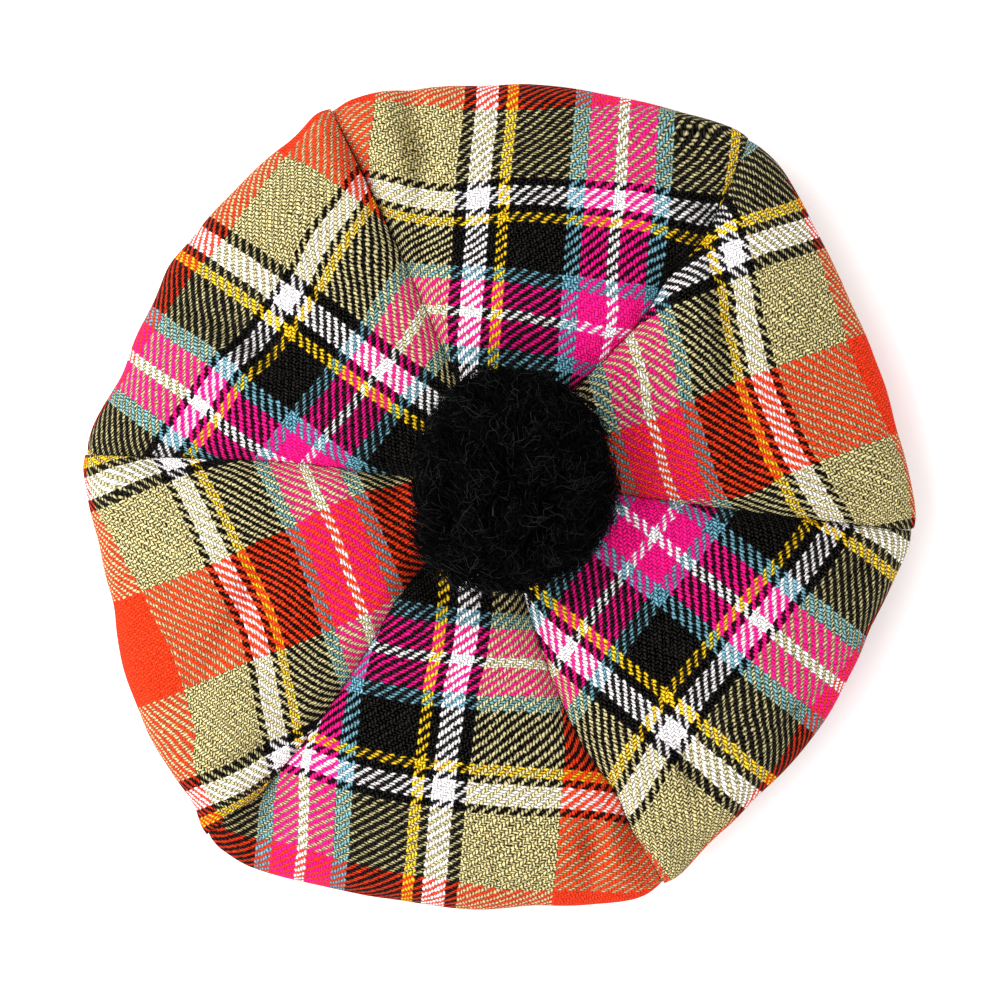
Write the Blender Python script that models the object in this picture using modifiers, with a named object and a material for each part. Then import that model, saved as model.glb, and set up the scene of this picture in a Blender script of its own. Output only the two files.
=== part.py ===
"""A tam o'shanter that lies on a flat surface: six cloth gores, a headband and a pompom.

Lengths are in metres and +Z is up. The origin is on the surface, under the middle of the hat's
outline. Angles run anticlockwise from +X, seen from above. Each gore is one panel of cloth that
starts at the apex under the pompom, runs over the rim and comes back underneath to the headband.
"""

import math
from collections import namedtuple

import bmesh
import bpy
from mathutils import Matrix, Vector

MM = 0.001

CLOTH_THICKNESS = 1.6 * MM
PIECE_GAP = 0.3 * MM

# The gores meet at the apex, which lies a little off the middle of the outline.
APEX = Vector((-1.7 * MM, 7.0 * MM))

# Each gore turns inwards at its two seams, in a quarter round of this radius.
SEAM_ROLL_RADIUS = 2.2 * MM
SEAM_ROLL_STEPS = 3
# How the cloth falls from the middle of a gore to its seams: 1 is a straight slope.
GORE_ROUNDNESS = 2.2

BAND_OUTER_RADIUS = 92.0 * MM
BAND_THICKNESS = 3.0 * MM
BAND_HEIGHT = 27.0 * MM
BAND_EDGE_ROUND = 0.9 * MM
BAND_SEGMENTS = 56

# A meridian of the crown through the middle of a gore, from the apex over the rim to the headband.
# seam_drop is how much lower the seams lie there, and it is negative where they lie higher.
SectionRow = namedtuple("SectionRow", "place radius_mm height_mm seam_drop_mm")
SECTION = (
    SectionRow("apex_hole", 6.5, 57.0, 0.1),
    SectionRow("under_pompom", 28.0, 57.2, 1.0),
    SectionRow("crown", 60.0, 59.2, 4.6),
    SectionRow("outer_crown", 90.0, 57.6, 6.4),
    SectionRow("shoulder", 115.0, 52.0, 5.6),
    SectionRow("upper_rim", 133.5, 42.0, 2.8),
    SectionRow("rim", 140.0, 28.5, 0.0),
    SectionRow("lower_rim", 134.0, 15.5, -1.5),
    SectionRow("underside", 118.0, 9.6, -2.0),
    SectionRow("beside_band", 103.0, 14.0, -1.0),
    SectionRow("band_edge", 92.3, 23.5, 0.0),
)
RIM_PLACE = 6
LAST_PLACE = len(SECTION) - 1
ROWS_PER_PLACE = 2
SMALL_STEP = 0.01

# The six seams, anticlockwise. Each ends at a corner of the rim, and bows sideways on its way
# there, anticlockwise where bow is positive and most at bow_peak of its length.
Seam = namedtuple("Seam", "name angle_deg radius_mm bow_mm bow_peak")
SEAMS = (
    Seam("upper_right", 55.2, 147.0, -9.0, 0.62),
    Seam("upper_left", 113.6, 143.0, -1.5, 0.44),
    Seam("left", 174.2, 140.0, -1.0, 0.30),
    Seam("lower_left", 229.0, 152.0, 11.0, 0.68),
    Seam("lower", 292.0, 143.6, -7.4, 0.50),
    Seam("right", 355.3, 140.3, -1.0, 0.50),
)

# The gore that follows each seam. side_drop is how far the rim's outline falls short of the
# corners' circle at mid gore, and the outline is straighter there where side_flatness is larger.
# rim_lift raises the rim at mid gore, as the cloth settled.
Gore = namedtuple("Gore", "name side_drop_mm side_flatness rim_lift_mm")
GORES = (
    Gore("gore_1", 5.2, 2.4, 1.5),
    Gore("gore_2", 7.0, 2.8, -1.5),
    Gore("gore_3", 8.6, 2.2, 2.5),
    Gore("gore_4", 8.4, 2.1, -1.0),
    Gore("gore_5", 10.0, 3.2, 1.5),
    Gore("gore_6", 9.0, 2.1, -2.0),
)
CORNER_SOFTNESS = 1.25
RIM_LIFT_REACH = 2.0

# Dents and puffs of the crown: a long soft hollow at each place, or a swelling where depth is
# negative. turn is the direction of its length.
Fold = namedtuple("Fold", "place x_mm y_mm turn_deg length_mm width_mm depth_mm")
FOLDS = (
    Fold("crease beside the upper left seam", -46, 117, 112, 18, 6, 3.4),
    Fold("fold in the top gore", -30, 120, 105, 22, 8, 2.8),
    Fold("dent in the left gore", -84, -38, 60, 28, 12, 3.6),
    Fold("puff by the pompom", -36, 62, 140, 28, 16, -2.2),
    Fold("dent in the lower right gore", 88, -64, 140, 26, 11, 2.6),
    Fold("puff in the lower left corner", -98, -84, 45, 26, 14, -2.2),
    Fold("dent in the right gore", 112, 34, 110, 30, 10, 2.4),
    Fold("dent by the lower seam", 20, -96, 120, 24, 8, 2.4),
    Fold("dent in the upper left gore", -104, 62, 60, 24, 9, 2.2),
)

FOLD_END_PLACE = RIM_PLACE + 0.6
FOLD_END_SHARPNESS = 4.0

# Columns of a gore between its two seam rolls, as shares of the width.
GORE_COLUMNS = (0.0, 0.07, 0.20, 0.35, 0.5, 0.65, 0.80, 0.93, 1.0)

POMPOM_CENTRE = Vector((5.1 * MM, 5.3 * MM))
POMPOM_RADIUS = 33.5 * MM
POMPOM_CORE_RADIUS = 29.5 * MM
# The pompom is pressed flat where it sits on the crown, which is this far below its centre.
POMPOM_BASE_DEPTH = 26.0 * MM
POMPOM_BASE_HEIGHT = 57.9 * MM
POMPOM_TIE_RADIUS = 5.6 * MM
POMPOM_TIE_DEPTH = 3.0 * MM
POMPOM_TIE_SIDES = 12
POMPOM_CORE_STEPS = 2
LOCK_COUNT = 72
LOCK_SIDES = 6
LOCK_LENGTH = 11.0 * MM
LOCK_ROOT_RADIUS = 6.4 * MM
LOCK_TIP_RADIUS = 5.2 * MM
LOCK_UNEVENNESS = 1.6 * MM

GOLDEN_ANGLE = math.pi * (3 - math.sqrt(5))


def clear_scene():
    for obj in list(bpy.data.objects):
        bpy.data.objects.remove(obj, do_unlink=True)


def new_collection(name, hidden=False):
    collection = bpy.data.collections.new(name)
    collection.hide_render = hidden
    bpy.context.scene.collection.children.link(collection)
    return collection


def new_material(name, colour, roughness):
    material = bpy.data.materials.new(name)
    material.use_nodes = True
    shader = material.node_tree.nodes["Principled BSDF"]
    shader.inputs["Base Color"].default_value = (*colour, 1.0)
    shader.inputs["Roughness"].default_value = roughness
    shader.inputs["Metallic"].default_value = 0.0
    return material


def object_from_bmesh(name, bm, collection, material=None):
    mesh = bpy.data.meshes.new(name)
    bm.to_mesh(mesh)
    bm.free()
    mesh.shade_smooth()
    obj = bpy.data.objects.new(name, mesh)
    collection.objects.link(obj)
    if material:
        mesh.materials.append(material)
    return obj


def section_at(place):
    """Radius, height and seam drop at a place of the section, on a smooth curve through its rows."""
    row = min(int(place), LAST_PLACE - 1)
    t = place - row
    around = [SECTION[min(max(row + step, 0), LAST_PLACE)][1:] for step in (-1, 0, 1, 2)]
    weights = (
        (-t + 2 * t**2 - t**3) / 2,
        (2 - 5 * t**2 + 3 * t**3) / 2,
        (t + 4 * t**2 - 3 * t**3) / 2,
        (-(t**2) + t**3) / 2,
    )
    return [sum(weight * sizes[i] for weight, sizes in zip(weights, around)) * MM for i in range(3)]


def polar(radius, angle):
    return Vector((radius * math.cos(angle), radius * math.sin(angle)))


def rim_angle(gore, across):
    """The direction from the middle of the hat, at a share of the way across a gore."""
    start = math.radians(SEAMS[gore].angle_deg)
    turn = (math.radians(SEAMS[(gore + 1) % len(SEAMS)].angle_deg) - start) % math.tau
    return start + across * turn


def rim_point(gore, across):
    """A point of the rim, seen from above."""
    eased = across**2 * (3 - 2 * across)
    corners = SEAMS[gore].radius_mm, SEAMS[(gore + 1) % len(SEAMS)].radius_mm
    radius = corners[0] + (corners[1] - corners[0]) * eased
    from_corners = 1 - abs(2 * across - 1) ** GORES[gore].side_flatness
    radius -= GORES[gore].side_drop_mm * from_corners**CORNER_SOFTNESS
    return polar(radius * MM, rim_angle(gore, across))


def seam_bow(seam, share):
    """The sideways step of a seam, at a share of its way from the apex to the rim."""
    reach = polar(seam.radius_mm * MM, math.radians(seam.angle_deg)) - APEX
    sideways = Vector((-reach.y, reach.x)).normalized()
    to_peak = math.log(0.5) / math.log(seam.bow_peak)
    return sideways * seam.bow_mm * MM * math.sin(math.pi * share**to_peak)


def base_point(gore, across, place):
    """A point of the crown before its folds and seam rolls."""
    radius, height, seam_drop = section_at(place)
    rim = rim_point(gore, across)
    rim_radius = SECTION[RIM_PLACE].radius_mm * MM
    if place <= RIM_PLACE:
        share = radius / rim_radius
        bows = seam_bow(SEAMS[gore], share), seam_bow(SEAMS[(gore + 1) % len(SEAMS)], share)
        plan = APEX.lerp(rim, share) + bows[0].lerp(bows[1], across)
    else:
        band_radius = SECTION[LAST_PLACE].radius_mm * MM
        share = (radius - band_radius) / (rim_radius - band_radius)
        plan = polar(band_radius, rim_angle(gore, across)).lerp(rim, share)
    height -= seam_drop * abs(2 * across - 1) ** GORE_ROUNDNESS
    near_rim = math.exp(-(((place - RIM_PLACE) / RIM_LIFT_REACH) ** 2))
    height += GORES[gore].rim_lift_mm * MM * math.sin(math.pi * across) * near_rim
    return plan.to_3d() + Vector((0, 0, height))


def outward(point, place):
    """The direction that faces away from the head at a point of the crown, alike on both sides of
    a seam: square to the section, in the upright plane through the middle of the hat."""
    before = section_at(max(place - SMALL_STEP, 0.0))
    after = section_at(min(place + SMALL_STEP, LAST_PLACE))
    facing = (before[1] - after[1], after[0] - before[0])
    direction = point.to_2d().normalized() * facing[0]
    return Vector((*direction, facing[1])).normalized()


def fold_depth(point, place):
    """How far the folds press the cloth in at a point. They end below the rim."""
    above = 1.0 / (1.0 + math.exp(FOLD_END_SHARPNESS * (place - FOLD_END_PLACE)))
    depth = 0.0
    for fold in FOLDS:
        step = point.to_2d() - Vector((fold.x_mm, fold.y_mm)) * MM
        step.rotate(Matrix.Rotation(-math.radians(fold.turn_deg), 2))
        reach = (step.x / fold.length_mm) ** 2 + (step.y / fold.width_mm) ** 2
        depth += fold.depth_mm * MM * math.exp(-reach / MM**2)
    return depth * above


def gore_columns():
    """Each column of a gore: its distance from the first or last seam line, its share of the width
    between the two rolls, and how deep the roll lies there."""
    quarter = [math.pi / 2 * (1 - step / SEAM_ROLL_STEPS) for step in range(SEAM_ROLL_STEPS)]
    rolled = [
        (SEAM_ROLL_RADIUS * (1 - math.sin(turn)), SEAM_ROLL_RADIUS * (1 - math.cos(turn)))
        for turn in quarter
    ]
    first = [(distance, 0.0, depth) for distance, depth in rolled]
    middle = [(SEAM_ROLL_RADIUS, share, 0.0) for share in GORE_COLUMNS]
    last = [(2 * SEAM_ROLL_RADIUS - distance, 1.0, depth) for distance, depth in reversed(rolled)]
    return first + middle + last


def gore_point(gore, column, place):
    """A point of a gore's outer face."""
    distance, share, depth = column
    first, middle, last = (base_point(gore, across, place) for across in (0.0, 0.5, 1.0))
    width = (middle - first).length + (last - middle).length
    between_rolls = width - PIECE_GAP - 2 * SEAM_ROLL_RADIUS
    across = (PIECE_GAP / 2 + distance + share * between_rolls) / width
    point = base_point(gore, across, place)
    return point - outward(point, place) * (depth + fold_depth(point, place))


def make_gore(gore, collection, material):
    columns = gore_columns()
    rows = LAST_PLACE * ROWS_PER_PLACE
    last_column = len(columns) - 1
    bm = bmesh.new()
    bmesh.ops.create_grid(bm, x_segments=rows, y_segments=last_column, size=0.5)
    for vert in bm.verts:
        place = (vert.co.x + 0.5) * LAST_PLACE
        column = columns[round((vert.co.y + 0.5) * last_column)]
        vert.co = gore_point(gore, column, place)
    obj = object_from_bmesh(GORES[gore].name, bm, collection, material)
    wall = obj.modifiers.new("cloth_thickness", "SOLIDIFY")
    wall.thickness = CLOTH_THICKNESS
    wall.offset = -1.0
    return obj


def make_headband(collection, material):
    inner = BAND_OUTER_RADIUS - BAND_THICKNESS
    soft = BAND_EDGE_ROUND
    profile = (
        (BAND_OUTER_RADIUS - soft, BAND_HEIGHT),
        (BAND_OUTER_RADIUS, BAND_HEIGHT - soft),
        (BAND_OUTER_RADIUS, soft),
        (BAND_OUTER_RADIUS - soft, 0.0),
        (inner + soft, 0.0),
        (inner, soft),
        (inner, BAND_HEIGHT - soft),
        (inner + soft, BAND_HEIGHT),
    )
    bm = bmesh.new()
    corners = [bm.verts.new((radius, 0.0, height)) for radius, height in profile]
    for i, corner in enumerate(corners):
        bm.edges.new((corner, corners[(i + 1) % len(corners)]))
    obj = object_from_bmesh("headband", bm, collection, material)
    turn = obj.modifiers.new("round_the_head", "SCREW")
    turn.steps = BAND_SEGMENTS
    turn.render_steps = BAND_SEGMENTS
    turn.use_merge_vertices = True
    turn.merge_threshold = 0.00001
    return obj


def lock_directions():
    """Directions spread evenly over a ball, lowest first."""
    for i in range(LOCK_COUNT):
        height = -1 + (2 * i + 1) / LOCK_COUNT
        ring = math.sqrt(1 - height**2)
        yield Vector((ring * math.cos(i * GOLDEN_ANGLE), ring * math.sin(i * GOLDEN_ANGLE), height))


def make_locks(centre, collection):
    """All the pompom's locks of yarn: tufts with blunt ends that point out from its centre."""
    bm = bmesh.new()
    for i, direction in enumerate(lock_directions()):
        shortfall = LOCK_UNEVENNESS * (1 + math.cos(i * GOLDEN_ANGLE)) / 2
        middle = centre + direction * (POMPOM_RADIUS - shortfall - LOCK_LENGTH / 2)
        turned = direction.to_track_quat("Z", "Y").to_matrix().to_4x4()
        bmesh.ops.create_cone(
            bm,
            cap_ends=True,
            segments=LOCK_SIDES,
            radius1=LOCK_ROOT_RADIUS,
            radius2=LOCK_TIP_RADIUS,
            depth=LOCK_LENGTH,
            matrix=Matrix.Translation(middle) @ turned,
        )
    locks = object_from_bmesh("pompom_locks", bm, collection)
    locks.display_type = "WIRE"
    locks.hide_render = True
    return locks


def make_base_cutter(collection):
    """A block whose top is the pompom's flat underside."""
    side = 4 * POMPOM_RADIUS
    bm = bmesh.new()
    bmesh.ops.create_cube(bm, size=side)
    bmesh.ops.translate(bm, verts=bm.verts, vec=(*POMPOM_CENTRE, POMPOM_BASE_HEIGHT - side / 2))
    cutter = object_from_bmesh("pompom_base_cutter", bm, collection)
    cutter.display_type = "WIRE"
    cutter.hide_render = True
    return cutter


def make_tie(collection):
    """The yarn that ties the pompom on, which goes down through the hole at the apex."""
    top = POMPOM_BASE_HEIGHT + POMPOM_TIE_DEPTH
    bottom = POMPOM_BASE_HEIGHT - POMPOM_TIE_DEPTH
    bm = bmesh.new()
    bmesh.ops.create_cone(
        bm,
        cap_ends=True,
        segments=POMPOM_TIE_SIDES,
        radius1=POMPOM_TIE_RADIUS,
        radius2=POMPOM_TIE_RADIUS,
        depth=top - bottom,
        matrix=Matrix.Translation((*APEX, (top + bottom) / 2)),
    )
    tie = object_from_bmesh("pompom_tie", bm, collection)
    tie.display_type = "WIRE"
    tie.hide_render = True
    return tie


def make_pompom(collection, helpers, material):
    centre = Vector((*POMPOM_CENTRE, POMPOM_BASE_HEIGHT + POMPOM_BASE_DEPTH))
    bm = bmesh.new()
    bmesh.ops.create_icosphere(bm, subdivisions=POMPOM_CORE_STEPS, radius=POMPOM_CORE_RADIUS)
    bmesh.ops.translate(bm, verts=bm.verts, vec=centre)
    pompom = object_from_bmesh("pompom", bm, collection, material)
    steps = (
        ("locks", "UNION", make_locks(centre, helpers)),
        ("flat_underside", "DIFFERENCE", make_base_cutter(helpers)),
        ("tie", "UNION", make_tie(helpers)),
    )
    for name, operation, tool in steps:
        join = pompom.modifiers.new(name, "BOOLEAN")
        join.operation = operation
        join.object = tool
        join.use_self = name == "locks"
    return pompom


def main():
    clear_scene()
    hat = new_collection("tam_o_shanter")
    helpers = new_collection("tam_o_shanter_cutters", hidden=True)
    tartan = new_material("tartan_cloth", (0.36, 0.16, 0.10), 0.92)
    band_cloth = new_material("band_cloth", (0.30, 0.15, 0.10), 0.92)
    yarn = new_material("pompom_yarn", (0.012, 0.012, 0.013), 0.95)
    for gore in range(len(GORES)):
        make_gore(gore, hat, tartan)
    make_headband(hat, band_cloth)
    make_pompom(hat, helpers, yarn)


main()
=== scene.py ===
"""A tam o'shanter of tartan cloth with a black yarn pompom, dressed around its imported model.

The crown is sewn from six gores, each a sheet of twill with its own lie of the tartan. A headband
of the same cloth is turned round the head opening, and a pompom of cut yarn sits on the seams'
meeting point. Tables are in millimetres, meshes in metres.
"""

import logging
import math
from dataclasses import dataclass, field, replace
from enum import Enum
from typing import Any, Iterator

import bmesh
import bpy
import numpy as np
from mathutils import Color, Matrix, Vector, noise


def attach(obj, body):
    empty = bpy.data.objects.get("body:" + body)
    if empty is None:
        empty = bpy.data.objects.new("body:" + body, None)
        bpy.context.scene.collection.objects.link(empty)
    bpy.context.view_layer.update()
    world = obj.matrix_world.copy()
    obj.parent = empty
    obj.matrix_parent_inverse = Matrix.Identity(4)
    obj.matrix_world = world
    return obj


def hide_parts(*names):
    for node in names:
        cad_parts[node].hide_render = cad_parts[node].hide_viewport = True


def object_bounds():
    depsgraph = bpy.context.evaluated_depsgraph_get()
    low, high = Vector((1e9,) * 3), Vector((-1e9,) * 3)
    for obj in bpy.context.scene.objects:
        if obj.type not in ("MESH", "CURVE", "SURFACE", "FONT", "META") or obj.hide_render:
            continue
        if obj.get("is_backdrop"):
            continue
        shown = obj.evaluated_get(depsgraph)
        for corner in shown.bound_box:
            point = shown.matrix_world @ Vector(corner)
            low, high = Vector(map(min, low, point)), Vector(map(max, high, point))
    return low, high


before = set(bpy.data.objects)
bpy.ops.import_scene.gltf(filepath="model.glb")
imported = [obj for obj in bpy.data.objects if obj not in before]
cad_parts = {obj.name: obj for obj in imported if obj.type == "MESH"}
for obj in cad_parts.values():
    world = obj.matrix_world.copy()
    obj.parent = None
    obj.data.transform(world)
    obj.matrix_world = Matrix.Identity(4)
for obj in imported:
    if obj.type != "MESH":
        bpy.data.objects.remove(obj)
CAD_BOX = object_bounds()

log = logging.getLogger("tam_o_shanter")

MM = 0.001
YARN_MAP = "yarns"
STRAND_TONE = "strand_tone"
GOLDEN_ANGLE = math.pi * (3 - math.sqrt(5))
MERGE_MM = 0.001

# How the photo lies over the hat: its size, what one pixel measures at the height of the crown's
# outline, how far its middle is below the hat's, and the camera that stands straight above.
PHOTO_SIZE_PX = 1000
PHOTO_MM_PER_PX = 0.3394
PHOTO_CENTRE_DOWN_MM = 1.2
CAMERA_HEIGHT_MM = 1600.0
OUTLINE_HEIGHT_MM = 35.0


def colour(red: int, green: int, blue: int) -> tuple[float, float, float]:
    """The light of a colour that is given as it looks on a screen, 0 to 255."""
    shown = Color((red / 255, green / 255, blue / 255))
    return tuple(shown.from_srgb_to_scene_linear())


# ---------------------------------------------------------------------------------------------
# Shader maths


class Wire:
    """A number in a shader, which takes part in Python expressions on either side."""

    def __init__(self, shop: "NodeShop", socket: bpy.types.NodeSocket) -> None:
        """Wraps a node's output socket."""
        self.shop = shop
        self.socket = socket

    def maths(self, operation: str, *others: "Number") -> "Wire":
        """A Math node of this number and others.

        Args:
            operation: Blender's name for the operation.
            others: The node's further inputs.

        Returns:
            The node's result.
        """
        made = self.shop.node("ShaderNodeMath", {"operation": operation}, (self, *others))
        return self.shop.wire(made)

    def __add__(self, other: "Number") -> "Wire":
        """self + other."""
        return self.maths("ADD", other)

    def __sub__(self, other: "Number") -> "Wire":
        """self - other."""
        return self.maths("SUBTRACT", other)

    def __rsub__(self, other: float) -> "Wire":
        """other - self."""
        return self.maths("MULTIPLY_ADD", -1.0, other)

    def __mul__(self, other: "Number") -> "Wire":
        """self * other."""
        return self.maths("MULTIPLY", other)

    __radd__ = __add__
    __rmul__ = __mul__

    def clamped(self) -> "Wire":
        """This number kept from 0 to 1."""
        return self.maths("MAXIMUM", 0.0).maths("MINIMUM", 1.0)


Number = float | Wire


class NodeShop:
    """Makes the nodes of one material. A Mix node has three sockets of each name, so those for
    colours are found by number, and so is a colour's strongest channel."""

    MIX_INPUTS = (0, 6, 7)
    MIX_OUTPUT = 2
    STRONGEST_CHANNEL = 2

    def __init__(self, name: str) -> None:
        """Starts a material with no nodes.

        Args:
            name: The material's name.
        """
        self.material = bpy.data.materials.new(name)
        self.material.use_nodes = True
        self.tree = self.material.node_tree
        self.tree.nodes.clear()

    def wire(self, node: bpy.types.Node, output: int | str = 0) -> Wire:
        """One output of a node, for use in expressions."""
        return Wire(self, node.outputs[output])

    def node(
        self,
        kind: str,
        settings: dict[str, Any] | None = None,
        inputs: tuple | dict | None = None,
    ) -> bpy.types.Node:
        """Makes a node.

        Args:
            kind: Blender's name for the type of node.
            settings: Its properties, set before its sockets. Of a ramp, stops is the list of
                (position, colour), and interpolation how it runs between them.
            inputs: Values or links of its sockets, in their order or by name.

        Returns:
            The node.
        """
        made = self.tree.nodes.new(kind)
        for name, value in (settings or {}).items():
            if name == "stops":
                self.set_stops(made.color_ramp, value)
            elif name == "interpolation":
                made.color_ramp.interpolation = value
            else:
                setattr(made, name, value)
        pairs = inputs.items() if isinstance(inputs, dict) else enumerate(inputs or ())
        for socket, value in pairs:
            if isinstance(value, Wire):
                self.tree.links.new(value.socket, made.inputs[socket])
            elif value is not None:
                made.inputs[socket].default_value = value
        return made

    @staticmethod
    def set_stops(ramp: bpy.types.ColorRamp, stops: list[tuple[float, tuple]]) -> None:
        """Gives a colour ramp its stops.

        Args:
            ramp: The ramp.
            stops: Each a position from 0 to 1 and a colour with alpha.
        """
        while len(ramp.elements) < len(stops):
            ramp.elements.new(1.0)
        for element, (position, rgba) in zip(ramp.elements, stops):
            element.position = position
            element.color = rgba

    def mix(self, factor: Number, first: Any, second: Any, blend: str = "MIX") -> Wire:
        """Mixes two colours.

        Args:
            factor: 0 for the first colour, 1 for the second.
            first: A colour or a wire.
            second: A colour or a wire.
            blend: The blend type.

        Returns:
            The mixed colour.
        """
        settings = {"data_type": "RGBA", "blend_type": blend}
        inputs = dict(zip(self.MIX_INPUTS, (factor, first, second)))
        return self.wire(self.node("ShaderNodeMix", settings, inputs), self.MIX_OUTPUT)

    def noise(self, vector: Wire, scale: float, detail: float = 1.0, distortion: float = 0.0) -> Wire:
        """A noise pattern.

        Args:
            vector: Where it is read.
            scale: How many of its lumps there are to one unit.
            detail: How many finer layers it has.
            distortion: How much it is stirred.

        Returns:
            A number near a half.
        """
        sizes = {"Vector": vector, "Scale": scale, "Detail": detail, "Distortion": distortion}
        return self.wire(self.node("ShaderNodeTexNoise", {}, sizes))

    def grey(self, value: Wire) -> Wire:
        """A number as a grey colour."""
        return self.wire(self.node("ShaderNodeCombineXYZ", {}, (value, value, value)))

    def brightness(self, shade: Wire) -> Wire:
        """How bright a colour is in its strongest channel."""
        split = self.node("ShaderNodeSeparateColor", {"mode": "HSV"}, (shade,))
        return self.wire(split, self.STRONGEST_CHANNEL)

    def finish(self, shader_inputs: dict[str, Any]) -> bpy.types.Material:
        """Ends the material with a Principled BSDF.

        Args:
            shader_inputs: The shader's sockets by name.

        Returns:
            The material.
        """
        shader = self.node("ShaderNodeBsdfPrincipled", {}, shader_inputs)
        self.node("ShaderNodeOutputMaterial", {}, {"Surface": self.wire(shader)})
        return self.material


# ---------------------------------------------------------------------------------------------
# Finishes


class Yarn(Enum):
    """The yarns of the cloth: how each looks, and how strongly its twist and gaps show, as painted shade
    and highlights.
    """

    WHITE = (colour(254, 250, 251), 0.6)
    PINK = (colour(250, 31, 139), 0.5)
    TEAL = (colour(101, 148, 163), 0.9)
    BLACK = (colour(18, 17, 16), 3.0)
    YELLOW = (colour(222, 181, 36), 0.85)
    OLIVE = (colour(183, 172, 126), 1.0)
    ORANGE = (colour(239, 66, 32), 0.5)

    @property
    def stop(self) -> tuple[float, float, float, float]:
        """The yarn as a ramp's colour, with the strength of its painted shade and grain for alpha."""
        (red, green, blue), painted_light_and_grain_strength = self.value
        return (red, green, blue, painted_light_and_grain_strength)


@dataclass(frozen=True)
class Stripe:
    """Neighbouring threads of one yarn."""

    yarn: Yarn
    threads: int


@dataclass(frozen=True)
class Sett:
    """Half of the tartan's repeat, from the middle of its thin white stripe to the middle of its
    orange block. It is mirrored at both."""

    stripes: tuple[Stripe, ...]

    @property
    def half(self) -> int:
        """How many threads the half repeat has."""
        return sum(stripe.threads for stripe in self.stripes)

    def stops(self) -> list[tuple[float, tuple]]:
        """The half repeat as a ramp.

        Returns:
            The ramp's stops, each a position and a colour.
        """
        found, threads = [], 0
        for stripe in self.stripes:
            found.append((threads / self.half, stripe.yarn.stop))
            threads += stripe.threads
        return found


def half_repeat(pink: int, border: int) -> Sett:
    """The tartan's half repeat, which differs a little between the warp and the weft.

    Args:
        pink: How many threads its pink stripe has.
        border: How many black threads lie beside the olive block.

    Returns:
        The half repeat.
    """
    return Sett(
        (
            Stripe(Yarn.WHITE, 2),
            Stripe(Yarn.PINK, pink),
            Stripe(Yarn.TEAL, 6),
            Stripe(Yarn.BLACK, 20),
            Stripe(Yarn.YELLOW, 4),
            Stripe(Yarn.BLACK, 3),
            Stripe(Yarn.WHITE, 8),
            Stripe(Yarn.BLACK, border),
            Stripe(Yarn.OLIVE, 31),
            Stripe(Yarn.ORANGE, 19),
        )
    )


WARP = half_repeat(pink=10, border=4)
WEFT = half_repeat(pink=11, border=3)
WARP_PITCH_MM = 0.985
WEFT_PITCH_MM = 0.835


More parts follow.
